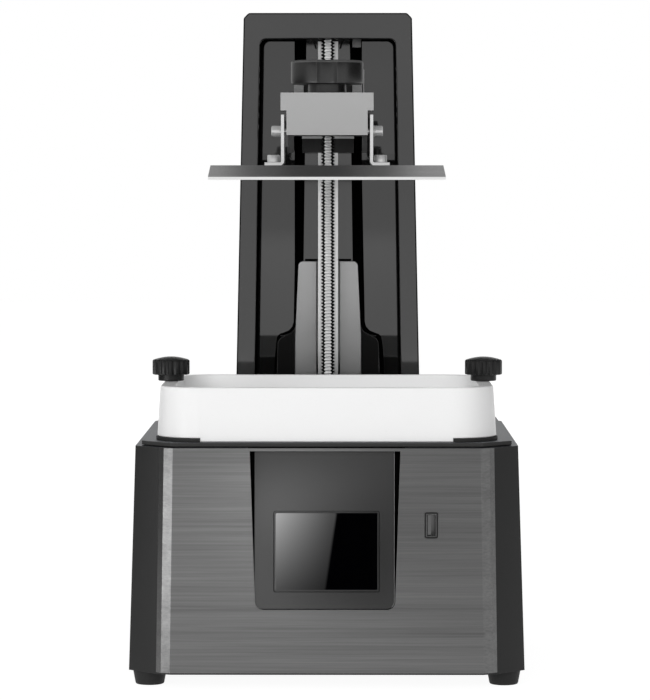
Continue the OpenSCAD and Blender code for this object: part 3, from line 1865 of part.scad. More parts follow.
module thumb_screw(side) {
  z = collar_low + thumb_collar_h;
  r = thumb_d / 2;
  translate([side * vat_screw_x, work_y, 0]) {
    difference() {
      union() {
        translate([0, 0, collar_low])
          cylinder(h = thumb_collar_h + EPS, d = thumb_collar_d);
        translate([0, 0, z])
          cylinder(h = thumb_h, r = r);
        translate([0, 0, z + thumb_h - EPS])
          intersection() {
            cylinder(h = thumb_dome, r = r - 1);
            translate([0, 0, thumb_dome - dome_r])
              sphere(dome_r);
          }
      }
      for (i = [0 : thumb_flutes - 1])
        rotate([0, 0, (i + 0.5) * 360 / thumb_flutes])
          translate([r + flute_r * 0.35, 0, z - 1])
            cylinder(h = thumb_h + 1 + EPS, r = flute_r);
    }
    difference() {
      translate([0, 0, stud_low])
        cylinder(h = collar_low - stud_low + EPS, d = stud_d);
      translate([0, 0, ring_z - fit])
        difference() {
          cylinder(h = ring_t + 2 * fit, d = stud_d + 1);
          translate([0, 0, -1])
            cylinder(h = ring_t + 3, d = stud_d - 2 * ring_groove);
        }
    }
  }
}

dome_r = (pow(thumb_d / 2, 2) + pow(thumb_dome, 2)) / (2 * thumb_dome);

module screw_ring(side) {
  translate([side * vat_screw_x, work_y, ring_z])
    difference() {
      cylinder(h = ring_t, d = stud_d + 3.4);
      translate([0, 0, -1])
        cylinder(h = ring_t + 2, d = stud_d - 2 * ring_groove + 2 * run);
    }
}

module left_thumb_screw() color("#1f1f21") {
  thumb_screw(-1);
}

module right_thumb_screw() color("#1f1f21") {
  thumb_screw(1);
}

module left_screw_ring() color("#b8babd") {
  screw_ring(-1);
}

module right_screw_ring() color("#b8babd") {
  screw_ring(1);
}

// ---------------- nodes

base_shell();
bottom_plate();
feet();
front_panel();
screen_bezel();
touch_glass();
display_module();
usb_frame();
usb_socket();
deck_plate();
corner_pads();
masking_screen();
deck_nuts();
light_hood();
lamp_lenses();
lamp_board();
heat_sink();
cooling_fan_frame();
cooling_fan_rotor();
main_board();
board_standoffs();
power_supply();
rear_panel();
exhaust_fan_frame();
exhaust_fan_rotor();
mains_inlet();
rocker_switch();
tower_plate();
lift_motor();
tower_hood();
tower_liner();
tower_rear_cover();
column();
column_foot();
column_cover();
linear_rail();
top_bearing_block();
top_bearing();
limit_switch();
lead_screw();
shaft_coupler();
motor_shaft();
rail_carriage();
carriage_plate();
platform_arm();
lead_nut();
clamp_block();
side_screws();
build_plate();
plate_brackets();
plate_screws();
pressure_pad();
clamp_knob();
vat_body();
film_frame();
release_film();
left_thumb_screw();
left_screw_ring();
right_thumb_screw();
right_screw_ring();
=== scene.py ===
"""Desktop resin printer without its cover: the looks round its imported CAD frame, in metres."""

import json
import math

import bmesh
import bpy
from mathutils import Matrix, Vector

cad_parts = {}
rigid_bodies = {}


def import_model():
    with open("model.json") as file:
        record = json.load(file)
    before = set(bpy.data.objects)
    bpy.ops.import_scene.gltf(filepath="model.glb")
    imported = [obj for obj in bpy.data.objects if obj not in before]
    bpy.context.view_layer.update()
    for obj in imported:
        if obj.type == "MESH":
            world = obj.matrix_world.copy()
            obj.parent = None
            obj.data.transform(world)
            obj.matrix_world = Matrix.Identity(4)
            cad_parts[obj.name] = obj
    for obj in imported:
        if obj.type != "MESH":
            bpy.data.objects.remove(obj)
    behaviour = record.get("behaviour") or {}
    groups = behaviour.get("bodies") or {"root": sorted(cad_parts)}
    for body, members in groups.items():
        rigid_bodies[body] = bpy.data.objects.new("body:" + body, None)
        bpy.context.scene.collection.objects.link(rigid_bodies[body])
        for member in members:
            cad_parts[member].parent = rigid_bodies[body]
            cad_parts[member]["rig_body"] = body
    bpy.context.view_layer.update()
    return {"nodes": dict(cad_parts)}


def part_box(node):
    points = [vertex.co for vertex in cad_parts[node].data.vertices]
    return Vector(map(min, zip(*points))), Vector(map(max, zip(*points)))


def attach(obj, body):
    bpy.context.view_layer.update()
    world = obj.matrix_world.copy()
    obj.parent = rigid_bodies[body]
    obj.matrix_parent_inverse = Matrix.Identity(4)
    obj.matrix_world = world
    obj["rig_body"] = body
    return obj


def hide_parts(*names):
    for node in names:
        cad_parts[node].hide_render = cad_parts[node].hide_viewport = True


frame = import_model()


# ---- camera
# A long lens two metres in front of the machine, at the height of its build plate. It looks down by less than
# three degrees and stands a little to the right of the middle.
scene = bpy.context.scene
scene.view_settings.view_transform = "Standard"
camera_lens = bpy.data.cameras.new("camera")
camera_lens.lens = 169.05
camera_lens.sensor_width = 36
look_down, look_left = 2.84, 0.313
camera = bpy.data.objects.new("camera", camera_lens)
camera.location = (0.009, -1.9145, 0.2775)
camera.rotation_euler = (math.radians(90 - look_down), 0, math.radians(look_left))
scene.collection.objects.link(camera)
scene.camera = camera


# ---- studio
# A pale room with a plain floor and four soft lamps: broad ones in front and on the left, weak ones on the right and
# behind. Cards that only gloss sees stand before, beside and over the machine, and grade its black coats.
def wire(tree, node, values):
    """Gives a node's inputs a value or a link each."""
    for key, value in values.items():
        if isinstance(value, bpy.types.NodeSocket):
            tree.links.new(value, node.inputs[key])
        else:
            node.inputs[key].default_value = value


def add_node(tree, kind, inputs=None, **settings):
    """Adds a node, sets its properties and wires its inputs."""
    made = tree.nodes.new(kind)
    for key, value in settings.items():
        setattr(made, key, value)
    wire(tree, made, inputs or {})
    return made


def maths(tree, operation, a, b=0.0, clamp=False):
    return add_node(tree, "ShaderNodeMath", {0: a, 1: b}, operation=operation, use_clamp=clamp).outputs[0]


def product(tree, first, *others):
    for other in others:
        first = maths(tree, "MULTIPLY", first, other)
    return first


def ramp(tree, value, low, high, start=0.0, end=1.0, smooth=False):
    """A value carried from one range to another, and held at its ends."""
    values = {"Value": value, "From Min": low, "From Max": high, "To Min": start, "To Max": end}
    way = "SMOOTHSTEP" if smooth else "LINEAR"
    return add_node(tree, "ShaderNodeMapRange", values, interpolation_type=way).outputs[0]


def within_edges(tree, value, start, full_from, full_to, end):
    """1 in the middle of a range, falling to 0 at both its ends."""
    return product(tree, ramp(tree, value, start, full_from), ramp(tree, value, end, full_to))


def cleared(owner):
    """The emptied node tree of a world or a material."""
    owner.use_nodes = True
    owner.node_tree.nodes.clear()
    return owner.node_tree


def lit_or_seen(tree, lit, seen, output):
    """Puts out one shader to scattered light, and another to camera, glossy and transmission rays."""
    ray = add_node(tree, "ShaderNodeLightPath").outputs
    mirror = maths(tree, "MAXIMUM", ray["Is Glossy Ray"], ray["Is Transmission Ray"])
    direct = maths(tree, "MAXIMUM", ray["Is Camera Ray"], mirror)
    mix = add_node(tree, "ShaderNodeMixShader", {0: direct, 1: lit.outputs[0], 2: seen.outputs[0]})
    add_node(tree, output, {"Surface": mix.outputs[0]})


def grey(value):
    return (value, value, value, 1.0)


scene.world = bpy.data.worlds.new("studio")
room = cleared(scene.world)
room_light, room_white = [add_node(room, "ShaderNodeBackground", {"Color": grey(1), "Strength": strength})
                          for strength in (0.42, 1.0)]
lit_or_seen(room, room_light, room_white, "ShaderNodeOutputWorld")

for name, place, aim_height, (width, height), power in (
        ("front_lamp", (-0.1, -3.2, 0.95), 0.18, (1.6, 1.2), 37),
        ("left_lamp", (-2.3, -2.2, 0.9), 0.18, (1.2, 1.2), 40),
        ("right_lamp", (2.6, -1.6, 0.9), 0.18, (1.2, 1.2), 12),
        ("rear_lamp", (0, 2.8, 0.7), 0.2, (0.6, 0.6), 14)):
    light = bpy.data.lights.new(name, "AREA")
    light.shape = "RECTANGLE"
    light.size, light.size_y, light.energy = width, height, power
    lamp = bpy.data.objects.new(name, light)
    lamp.location = place
    lamp.rotation_euler = (Vector((0, 0, aim_height)) - Vector(place)).to_track_quat("-Z", "Y").to_euler()
    lamp.visible_glossy = False
    scene.collection.objects.link(lamp)


def new_mesh(name, points, faces, material=None):
    mesh = bpy.data.meshes.new(name)
    mesh.from_pydata(points, [], faces)
    if material:
        mesh.materials.append(material)
    return mesh


def linked(name, mesh):
    """A mesh as an object of the scene."""
    made = bpy.data.objects.new(name, mesh)
    scene.collection.objects.link(made)
    return made


def stage_plane(name, low, high, material):
    """A rectangle between two opposite corners that share one of their coordinates."""
    axis = 1 if low[0] == high[0] else 0
    second, fourth = list(low), list(high)
    second[axis], fourth[axis] = high[axis], low[axis]
    plane = linked(name, new_mesh(name, [low, second, high, fourth], [(0, 1, 2, 3)], material))
    return plane


floor_paint = bpy.data.materials.new("floor_paint")
paint = cleared(floor_paint)
floor_lit = add_node(paint, "ShaderNodeBsdfDiffuse", {"Color": grey(0.82)})
floor_glow = add_node(paint, "ShaderNodeEmission", {"Color": grey(1), "Strength": 0.94})
floor_shade = add_node(paint, "ShaderNodeBsdfDiffuse", {"Color": grey(0.15)})
floor_seen = add_node(paint, "ShaderNodeAddShader", {0: floor_glow.outputs[0], 1: floor_shade.outputs[0]})
lit_or_seen(paint, floor_lit, floor_seen, "ShaderNodeOutputMaterial")
stage_plane("floor", (-6, -6, 0), (6, 6, 0), floor_paint)


def low_card(tree, place):
    """Bright to the left, dim to the right; in the middle a window's light with a leaning edge, black beyond it."""
    x, z = place[0], place[2]
    wide = ramp(tree, x, -0.11, 0.11, 1.15, 0.8)
    left = ramp(tree, x, -0.20, -0.27, 0.0, 4.0, smooth=True)
    before_tray = product(tree, ramp(tree, maths(tree, "ABSOLUTE", x), 0.048, 0.044),
                          within_edges(tree, z, 0.046, 0.05, 0.13, 0.137))
    steep = ramp(tree, x, -0.046, 0.044, 5.0, -0.8)
    plain = maths(tree, "ADD", maths(tree, "ADD", wide, left), product(tree, steep, before_tray))
    pane_foot, pane_head, window_light = 0.061, 0.111, 4.4
    edge = maths(tree, "SUBTRACT", x, ramp(tree, z, pane_foot, pane_head, -0.0025, 0.0048))
    across = maths(tree, "POWER", ramp(tree, x, -0.034, 0.0024, 1.0, 0.43), 2.2)
    down = maths(tree, "POWER", ramp(tree, z, pane_foot, pane_head, 0.42, 1.0), 2.2)
    window = product(tree, across, down, ramp(tree, edge, -0.0008, 0.0008, window_light, 0.0))
    before_pane = product(tree, within_edges(tree, x, -0.041, -0.037, 0.032, 0.036),
                          within_edges(tree, z, 0.055, 0.059, 0.113, 0.117))
    around = product(tree, plain, maths(tree, "SUBTRACT", 1.0, before_pane))
    return maths(tree, "ADD", around, product(tree, window, before_pane))


def high_card(tree, place):
    """A dark flag that lies over the front, darkest in its middle."""
    side = maths(tree, "ABSOLUTE", maths(tree, "SUBTRACT", place[0], -0.0068))
    return maths(tree, "ADD", ramp(tree, side, 0.021, 0.027, 0.045, 0.1), ramp(tree, side, 0.045, 0.068, 0.0, 0.24))


def side_flag(tree, place):
    """A flag beside the machine: dark on the left and grey on the right down low, and the other way round above."""
    right = ramp(tree, place[0], 0.0, 0.1)
    low = product(tree, right, ramp(tree, place[2], 0.24, 0.2, 0.03, 0.8))
    high = product(tree, maths(tree, "SUBTRACT", 1.0, right), ramp(tree, place[2], 0.2, 0.26, 0.04, 0.5))
    return maths(tree, "ADD", maths(tree, "ADD", low, high), ramp(tree, place[2], 0.5, 0.75, 0.0, 0.4))


for name, low, high, build in (
        ("low_card", (-0.45, -0.32, 0.001), (0.24, -0.32, 0.14), low_card),
        ("dark_ceiling", (-3, -4, 1.2), (3, 2.5, 1.2), lambda tree, place: 0.1),
        ("high_card", (-0.14, -0.28, 0.41), (0.14, -0.42, 0.41), high_card),
        ("left_flag", (-0.62, -0.30, 0.001), (-0.62, 0.60, 0.8), side_flag),
        ("right_flag", (0.62, -0.30, 0.001), (0.62, 0.60, 0.8), side_flag)):
    card_light = bpy.data.materials.new(name)
    tree = cleared(card_light)
    where = add_node(tree, "ShaderNodeSeparateXYZ", {0: add_node(tree, "ShaderNodeTexCoord").outputs["Object"]})
    glow = add_node(tree, "ShaderNodeEmission", {"Color": grey(1), "Strength": build(tree, where.outputs)})
    add_node(tree, "ShaderNodeOutputMaterial", {"Surface": glow.outputs[0]})
    card = stage_plane(name, low, high, card_light)
    card.visible_camera = card.visible_diffuse = card.visible_transmission = card.visible_shadow = False


# ---- base housing
# Moulded shell of charcoal plastic with a fine spark-eroded grain. It leans in on every side, and its two front
# corners are wide chamfers that stand beside the panel like pillars. A steel plate closes it from below.
MM = 0.001


def node_group(name, inputs, outputs, kind="ShaderNodeTree"):
    """An empty node group. Its inputs are given by name with a default number or a kind of socket."""
    tree = bpy.data.node_groups.new(name, kind)
    for side, sockets in (("INPUT", inputs), ("OUTPUT", outputs)):
        for label, value in sockets.items():
            number = isinstance(value, float)
            socket_kind = "NodeSocket" + ("Float" if number else value)
            socket = tree.interface.new_socket(label, in_out=side, socket_type=socket_kind)
            if number:
                socket.default_value = value
    return tree, tree.nodes.new("NodeGroupInput").outputs, tree.nodes.new("NodeGroupOutput")


def noise_on(tree, vector, scale, detail, roughness=0.5):
    values = {"Vector": vector, "Scale": scale, "Detail": detail, "Roughness": roughness}
    return add_node(tree, "ShaderNodeTexNoise", values).outputs[0]


def vectors(tree, operation, a, b):
    return add_node(tree, "ShaderNodeVectorMath", {0: a, 1: b}, operation=operation).outputs


# Grain of a moulded or coated surface: fine pits, and a slow change of tone over the part.
surface_grain, given, out = node_group(
    "surface_grain", {"Vector": "Vector", "Grain Scale": 2200.0, "Tone Scale": 14.0},
    {"Grain": "Float", "Tone": "Float"})
wire(surface_grain, out, {"Grain": noise_on(surface_grain, given["Vector"], given["Grain Scale"], 2.0, 0.6),
                          "Tone": noise_on(surface_grain, given["Vector"], given["Tone Scale"], 4.0, 0.55)})

# Lighter edges, part wear and part painted highlight: where the rounded normal leaves the face's own normal, broken up
# by noise.
edge_wear, given, out = node_group(
    "edge_wear", {"Vector": "Vector", "Width": 0.0006, "Amount": 0.5}, {"Mask": "Float"})
rounded = add_node(edge_wear, "ShaderNodeBevel", {"Radius": given["Width"]}, samples=4).outputs[0]
flat = add_node(edge_wear, "ShaderNodeNewGeometry").outputs["Normal"]
edge = ramp(edge_wear, vectors(edge_wear, "DOT_PRODUCT", rounded, flat)["Value"], 0.995, 0.85)
broken = product(edge_wear, edge, noise_on(edge_wear, given["Vector"], 160.0, 3.0))
wire(edge_wear, out, {"Mask": maths(edge_wear, "MULTIPLY", broken, given["Amount"], clamp=True)})

# Dust that settles on what faces up, thin and uneven.
settled_dust, given, out = node_group("settled_dust", {"Vector": "Vector", "Amount": 0.1}, {"Mask": "Float"})
facing = add_node(settled_dust, "ShaderNodeNewGeometry").outputs["Normal"]
up = ramp(settled_dust, add_node(settled_dust, "ShaderNodeSeparateXYZ", {0: facing}).outputs[2], 0.6, 1.0)
thin = ramp(settled_dust, noise_on(settled_dust, given["Vector"], 900.0, 4.0), 0.45, 0.8, 0.1, 1.0)
lying = product(settled_dust, up, thin)
wire(settled_dust, out, {"Mask": maths(settled_dust, "MULTIPLY", lying, given["Amount"], clamp=True)})


def new_finish(name, constants):
    """A material with its Principled shader, and the object's own coordinates."""
    material = bpy.data.materials.new(name)
    material.use_nodes = True
    tree = material.node_tree
    shader = tree.nodes["Principled BSDF"]
    wire(tree, shader, constants)
    return material, tree, shader, add_node(tree, "ShaderNodeTexCoord").outputs["Object"]


def add_group(tree, group, inputs):
    return add_node(tree, "ShaderNodeGroup", inputs, node_tree=group).outputs


def shaded(colour, factor, more=0.0):
    """A colour made lighter or darker."""
    return tuple(min(1, c * factor + more) for c in colour[:3]) + (1,)


def mixed_colour(tree, factor, low, high):
    """A colour between two, by a factor."""
    return add_node(tree, "ShaderNodeMix", {0: factor, 6: low, 7: high}, data_type="RGBA").outputs[2]


def bumped(tree, height, strength, distance):
    return add_node(tree, "ShaderNodeBump", {"Height": height, "Strength": strength, "Distance": distance}).outputs[0]


def coated(name, colour, roughness, grain=2200.0, depth=0.05, edge=None, wear_and_highlight=0.4, dust=0.06, metallic=0.0,
           ior=1.5, spread=0.12, coat=0.0, shine=0.25):
    """A moulded or coated finish: grain in its height and gloss, a slow tone, edges lightened by wear and a painted
    highlight, and a little dust.
    """
    material, tree, shader, where = new_finish(name, {"Metallic": metallic, "IOR": ior, "Coat Weight": coat,
                                                      "Specular IOR Level": shine})
    skin = add_group(tree, surface_grain, {"Vector": where, "Grain Scale": grain})
    tone = mixed_colour(tree, skin["Tone"], shaded(colour, 1 - spread), shaded(colour, 1 + spread))
    worn_and_highlit = add_group(tree, edge_wear, {"Vector": where, "Amount": wear_and_highlight})["Mask"]
    edged = mixed_colour(tree, worn_and_highlit, tone, edge or shaded(colour, 2.2, 0.02))
    lying = add_group(tree, settled_dust, {"Vector": where, "Amount": dust})["Mask"]
    dust_colour = (0.5, 0.49, 0.47, 1)
    wire(tree, shader, {"Base Color": mixed_colour(tree, lying, edged, dust_colour),
                        "Roughness": ramp(tree, skin["Grain"], 0.3, 0.7, roughness * 0.88, min(1, roughness * 1.12)),
                        "Normal": bumped(tree, skin["Grain"], depth, 0.0002)})
    return material


def solid(name, points, faces, material=None, smooth=32):
    """A closed shape of points in millimetres, with its doubled points merged and its faces turned outwards."""
    mesh = new_mesh(name, [[c * MM for c in point] for point in points], faces, material)
    shape = bmesh.new()
    shape.from_mesh(mesh)
    bmesh.ops.remove_doubles(shape, verts=shape.verts, dist=2e-6)
    bmesh.ops.dissolve_degenerate(shape, edges=shape.edges, dist=1e-6)
    bmesh.ops.recalc_face_normals(shape, faces=shape.faces)
    shape.to_mesh(mesh)
    shape.free()
    mesh.shade_smooth()
    mesh.set_sharp_from_angle(angle=math.radians(smooth))
    return linked(name, mesh)


def prism(name, outline, low, high, material=None):
    """A closed prism of an (x, z) outline, from one depth to another."""
    count = len(outline)
    return solid(name, [(x, y, z) for y in (low, high) for x, z in outline],
                 [tuple(range(count)), tuple(range(2 * count - 1, count - 1, -1)),
                  *[(i, (i + 1) % count, (i + 1) % count + count, i + count) for i in range(count)]], material)


def bar(name, half, low, high, near, far, material=None):
    """A straight bar across the middle: half its width, its two heights and its two depths."""
    return prism(name, [(-half, low), (half, low), (half, high), (-half, high)], near, far, material)


def join_pieces(name, pieces):
    """Several meshes of one real piece as one object."""
    shape = bmesh.new()
    for piece in pieces:
        shape.from_mesh(piece.data)
    mesh = bpy.data.meshes.new(name)
    shape.to_mesh(mesh)
    shape.free()
    mesh.materials.append(pieces[0].data.materials[0])
    for piece in pieces:
        bpy.data.objects.remove(piece)
    return linked(name, mesh)


def settle(piece):
    """Makes a piece with its modifiers a plain mesh."""
    graph = bpy.context.evaluated_depsgraph_get()
    whole = piece.evaluated_get(graph)
    mesh = bpy.data.meshes.new_from_object(whole, preserve_all_data_layers=True, depsgraph=graph)
    piece.modifiers.clear()
    piece.data = mesh
    mesh.name = piece.name
    return piece


def fitted(piece, body, slot, *nodes):
    """Puts a piece on its body in the place of the CAD nodes it stands for, and hides them. slot is not used."""
    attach(piece, body)
    if nodes:
        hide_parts(*nodes)


def part_finish(piece, finishes, choose):
    """Gives faces of a piece other finishes, by number."""
    for finish in finishes:
        piece.data.materials.append(finish)
    for face in piece.data.polygons:
        face.material_index = int(choose(face))


def eased(node, name, width, material, slot, angle=25, inner=None, within=None, reshape=None, cutter=None):
    """A copy of a CAD node's solid with its edges broken, as on the real piece, in the node's place.
    reshape moves its points, cutter is taken out of it, and the faces within get the inner finish."""
    source = frame["nodes"][node]
    piece = linked(name, source.data.copy())
    mesh = piece.data
    for label in ("custom_normal", "sharp_edge", "sharp_face"):
        if label in mesh.attributes:
            mesh.attributes.remove(mesh.attributes[label])
    shape = bmesh.new()
    shape.from_mesh(mesh)
    bmesh.ops.remove_doubles(shape, verts=shape.verts, dist=3e-6)
    bmesh.ops.dissolve_limit(shape, angle_limit=math.radians(0.5), verts=shape.verts, edges=shape.edges)
    if reshape:
        for vert in shape.verts:
            vert.co = reshape(vert.co)
    shape.to_mesh(mesh)
    shape.free()
    mesh.materials.clear()
    mesh.materials.append(material)
    if cutter:
        opening = piece.modifiers.new("opening", "BOOLEAN")
        opening.operation = "DIFFERENCE"
        opening.solver = "EXACT"
        opening.object = cutter
        settle(piece)
        bpy.data.objects.remove(cutter)
    if inner:
        part_finish(piece, [inner], within)
    piece.data.shade_smooth()
    piece.data.set_sharp_from_angle(angle=math.radians(angle))
    if width:
        rounding = piece.modifiers.new("edges", "BEVEL")
        rounding.width = width * MM
        rounding.segments = 2
        rounding.limit_method = "ANGLE"
        rounding.angle_limit = math.radians(angle)
        rounding.harden_normals = True
        rounding.use_clamp_overlap = True
        settle(piece)
    fitted(piece, source["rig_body"], slot, node)
    return piece


def dress(material, *nodes):
    """Gives CAD nodes their finish."""
    for node in nodes:
        for place in frame["nodes"][node].material_slots:
            place.material = material


housing_coat = coated("housing_coat", grey(0.014), 0.5, grain=2600, depth=0.08, wear_and_highlight=0.25, dust=0.04)
dress(coated("bottom_coat", grey(0.06), 0.55, grain=1800), "bottom_plate")


# ---- feet
# Four turned feet of black rubber that widen upwards from a rounded sole. Each is held by a screw that sits deep in
# its middle, clear of the table.
def turned(name, profile, material, centre=(0, 0), steps=48, smooth=32):
    """Revolves (radius, height, shape) points about an upright axis. shape scales a ring by its angle."""
    points = []
    for radius, height, *shape in profile:
        for i in range(steps):
            turn = 2 * math.pi * i / steps
            r = radius * (shape[0](turn) if shape else 1)
            points.append((centre[0] + r * math.cos(turn), centre[1] + r * math.sin(turn), height))
    faces = [(j + i, j + (i + 1) % steps, j + steps + (i + 1) % steps, j + steps + i)
             for j in range(0, (len(profile) - 1) * steps, steps) for i in range(steps)]
    return solid(name, points, faces, material, smooth)


def finish_tree(tree, geometry, finish, out):
    """Ends a tree: its instances made real, with their finish."""
    real = add_node(tree, "GeometryNodeRealizeInstances", {"Geometry": geometry.outputs[0]})
    dressed = add_node(tree, "GeometryNodeSetMaterial", {"Geometry": real.outputs[0], "Material": finish})
    tree.links.new(dressed.outputs[0], out.inputs[0])


# Sets a copy of a piece on every point of a mesh, turned by the point's own angles.
set_on_points, given, out = node_group(
    "set_on_points", {"Places": "Geometry", "Piece": "Object", "Size": "Float", "Finish": "Material"},
    {"Set": "Geometry"}, "GeometryNodeTree")
pattern = add_node(set_on_points, "GeometryNodeObjectInfo", {"Object": given["Piece"]})
turn = add_node(set_on_points, "GeometryNodeInputNamedAttribute", {"Name": "turn"}, data_type="FLOAT_VECTOR")
to_turn = add_node(set_on_points, "FunctionNodeEulerToRotation", {"Euler": turn.outputs["Attribute"]})
scale = add_node(set_on_points, "ShaderNodeCombineXYZ", {axis: given["Size"] for axis in range(3)})
placed = add_node(set_on_points, "GeometryNodeInstanceOnPoints",
                  {"Points": given["Places"], "Instance": pattern.outputs["Geometry"],
                   "Rotation": to_turn.outputs[0], "Scale": scale.outputs[0]})
finish_tree(set_on_points, placed, given["Finish"], out)


def run_tree(name, tree, mesh, values):
    """Runs a geometry tree on a mesh and leaves its result as a plain mesh."""
    piece = linked(name, mesh)
    grown = piece.modifiers.new("rule", "NODES")
    grown.node_group = tree
    sockets = {item.name: item.identifier for item in tree.interface.items_tree if item.in_out == "INPUT"}
    for label, value in values.items():
        grown[sockets[label]] = value
    piece.update_tag()
    bpy.context.view_layer.update()
    return settle(piece)


def repeated(name, pattern, places, turn, body, slot, *nodes):
    """The pattern piece on every place, in millimetres, each with its turn, as one piece of its body."""
    mesh = new_mesh(name, [[c * MM for c in place] for place in places], [])
    angles = mesh.attributes.new("turn", "FLOAT_VECTOR", "POINT")
    for i, place in enumerate(places):
        angles.data[i].vector = turn(place)
    piece = run_tree(name, set_on_points, mesh, {"Piece": pattern, "Size": 1.0, "Finish": pattern.data.materials[0]})
    bpy.data.objects.remove(pattern)
    fitted(piece, body, slot, *nodes)


def upright(place):
    return (0, 0, 0)


foot_rubber = coated("foot_rubber", grey(0.014), 0.62, grain=1500, depth=0.15, spread=0.2, wear_and_highlight=0.2, dust=0.0)
foot_x, foot_y = 99, 86
foot = turned("foot", [(4.0, 5.4), (4.0, 1.0), (4.6, 0.3), (5.4, 0), (7.2, 0), (7.8, 0.25), (8.1, 0.9),
                       (9.3, 7.4), (9.45, 8.4), (9.45, 9.0), (2.1, 9.0), (2.1, 5.4), (4.0, 5.4)],
              foot_rubber, steps=56)
repeated("rubber_feet", foot, [(x * foot_x, y * foot_y, 0) for x in (-1, 1) for y in (-1, 1)], upright,
         "root", "foot_rubber", "feet")


# ---- front panel
# Dark anodised sheet, brushed from left to right, with its two sides bent back in a narrow bevel.
# Its brushing is long thin scratches along X: fine ones, and broader bands where the brush bore down.
brushed_streaks, given, out = node_group(
    "brushed_streaks", {"Vector": "Vector", "Along": 6.0, "Across": 900.0}, {"Streak": "Float", "Band": "Float"})
along, across = given["Along"], given["Across"]
stretch = add_node(brushed_streaks, "ShaderNodeCombineXYZ", {0: along, 1: across, 2: across}).outputs[0]
lines = vectors(brushed_streaks, "MULTIPLY", given["Vector"], stretch)[0]
broad = vectors(brushed_streaks, "MULTIPLY", lines, (0.3, 0.18, 0.18))[0]
wire(brushed_streaks, out, {"Streak": noise_on(brushed_streaks, lines, 1.0, 5.0, 0.7),
                            "Band": noise_on(brushed_streaks, broad, 1.0, 3.0)})


def brushed(name, colour, roughness, along=6.0, across=900.0, depth=0.06, spread=0.25, wear_and_highlight=0.5, metallic=1.0,
            turn=(0, 0, 0), rim=None):
    """A bare or anodised metal with the marks of its brush or its tool, and edges lightened by wear and a painted
    highlight. rim paints shade on the sides of a round piece: it darkens them between two values of facing about an
    upright axis."""
    material, tree, shader, where = new_finish(name, {"Metallic": metallic})
    aligned = add_node(tree, "ShaderNodeMapping", {"Vector": where, "Rotation": turn})
    marks = add_group(tree, brushed_streaks, {"Vector": aligned.outputs[0], "Along": along, "Across": across})
    both = maths(tree, "ADD", ramp(tree, marks["Streak"], 0.25, 0.75), marks["Band"])
    half = maths(tree, "MULTIPLY", both, 0.5, clamp=True)
    tone = mixed_colour(tree, half, shaded(colour, 1 - spread), shaded(colour, 1 + spread))
    worn_and_highlit = add_group(tree, edge_wear, {"Vector": where, "Amount": wear_and_highlight})["Mask"]
    shown = mixed_colour(tree, worn_and_highlit, tone, shaded(colour, 1.6, 0.03))
    if rim:
        bright, dark, axis = rim
        level = vectors(tree, "MULTIPLY", vectors(tree, "SUBTRACT", where, axis)[0], (1, 1, 0))[0]
        radial = add_node(tree, "ShaderNodeVectorTransform", {0: level}, vector_type="NORMAL",
                          convert_from="OBJECT", convert_to="WORLD").outputs[0]
        facing = add_node(tree, "ShaderNodeLayerWeight", {"Normal": radial}).outputs["Facing"]
        shown = mixed_colour(tree, ramp(tree, facing, bright, dark), shown, grey(0.004))
        wire(tree, shader, {"Specular Tint": grey(0.05)})
    wire(tree, shader, {"Base Color": shown,
                        "Roughness": ramp(tree, half, 0.0, 1.0, roughness * 1.15, roughness * 0.85),
                        "Normal": bumped(tree, marks["Streak"], depth, 0.0001)})
    return material


brushed_panel = brushed("brushed_panel", grey(0.148), 0.36, along=9.0, across=950.0, depth=0.04, spread=0.42,
                        wear_and_highlight=0.1)
recess_half, recess_foot, rim_top = 0.046, 0.03, 0.02


def lower_rim(point, drop, aside=0.0):
    """The panel and the shell reach a little further down than their solids, and the recess stands aside."""
    in_recess = abs(point.x) < recess_half and point.z > recess_foot
    return Vector((point.x - aside * MM * in_recess, point.y, point.z - drop * MM * (point.z < rim_top)))


eased("front_panel", "brushed_front", 0.15, brushed_panel, "brushed_panel", angle=14,
      reshape=lambda point: lower_rim(point, 1.6, 0.8))


# ---- operator screen
# A tray of dark satin plastic let into the panel, with its face tilted back; a black touch glass is set into the
# face, flush, in front of the display module.
bezel_plastic = coated("bezel_plastic", grey(0.012), 0.24, grain=1800, depth=0.02, wear_and_highlight=0.5, dust=0.0, shine=0.5)
# A matt black with no gloss: the display's own black, and elsewhere painted shade in recesses, gaps, outlines and the
# tower's insides.
dead_black = coated("dead_black", grey(0.002), 0.95, grain=900, depth=0.1, edge=grey(0.002), dust=0.0, shine=0.0)
tray_wall_x, right_shift, left_shift = 0.033, 0.8, 1.5
tray_edge_x, tray_cheek_x, tray_recess_y = 0.036, 0.035, -0.1015


def tray_aside(point):
    """The tray's side walls stand a little further left than their solid."""
    shift = (right_shift if point.x > 0 else left_shift) * MM if abs(point.x) > tray_wall_x else 0
    return point - Vector((shift, 0, 0))


def tray_part(face):
    """A painted highlight line on the right edge, painted shade on the side walls, and painted shade in dead black in
    the recess of the glass.
    """
    x, normal = face.center.x, face.normal
    if x > tray_edge_x and 0.25 < normal.x < 0.97 and normal.y < -0.2:
        return 3
    if x < -tray_edge_x and normal.x < -0.2 and normal.y < -0.3:
        return 0
    if normal.y > -0.99 or face.center.y > tray_recess_y:
        return 2 if abs(x) > tray_cheek_x else 1
    return 0


tray = eased("screen_bezel", "screen_surround", 0.8, bezel_plastic, "bezel_plastic", reshape=tray_aside)
# The recess of the glass gets painted shade in dead black, the side walls painted shade in a duller darker grey, and
# the right edge a painted highlight line in light grey.
part_finish(tray, (dead_black, coated("tray_side", grey(0.007), 0.5, shine=0.1), coated("tray_rim", grey(0.4), 0.4)),
            tray_part)


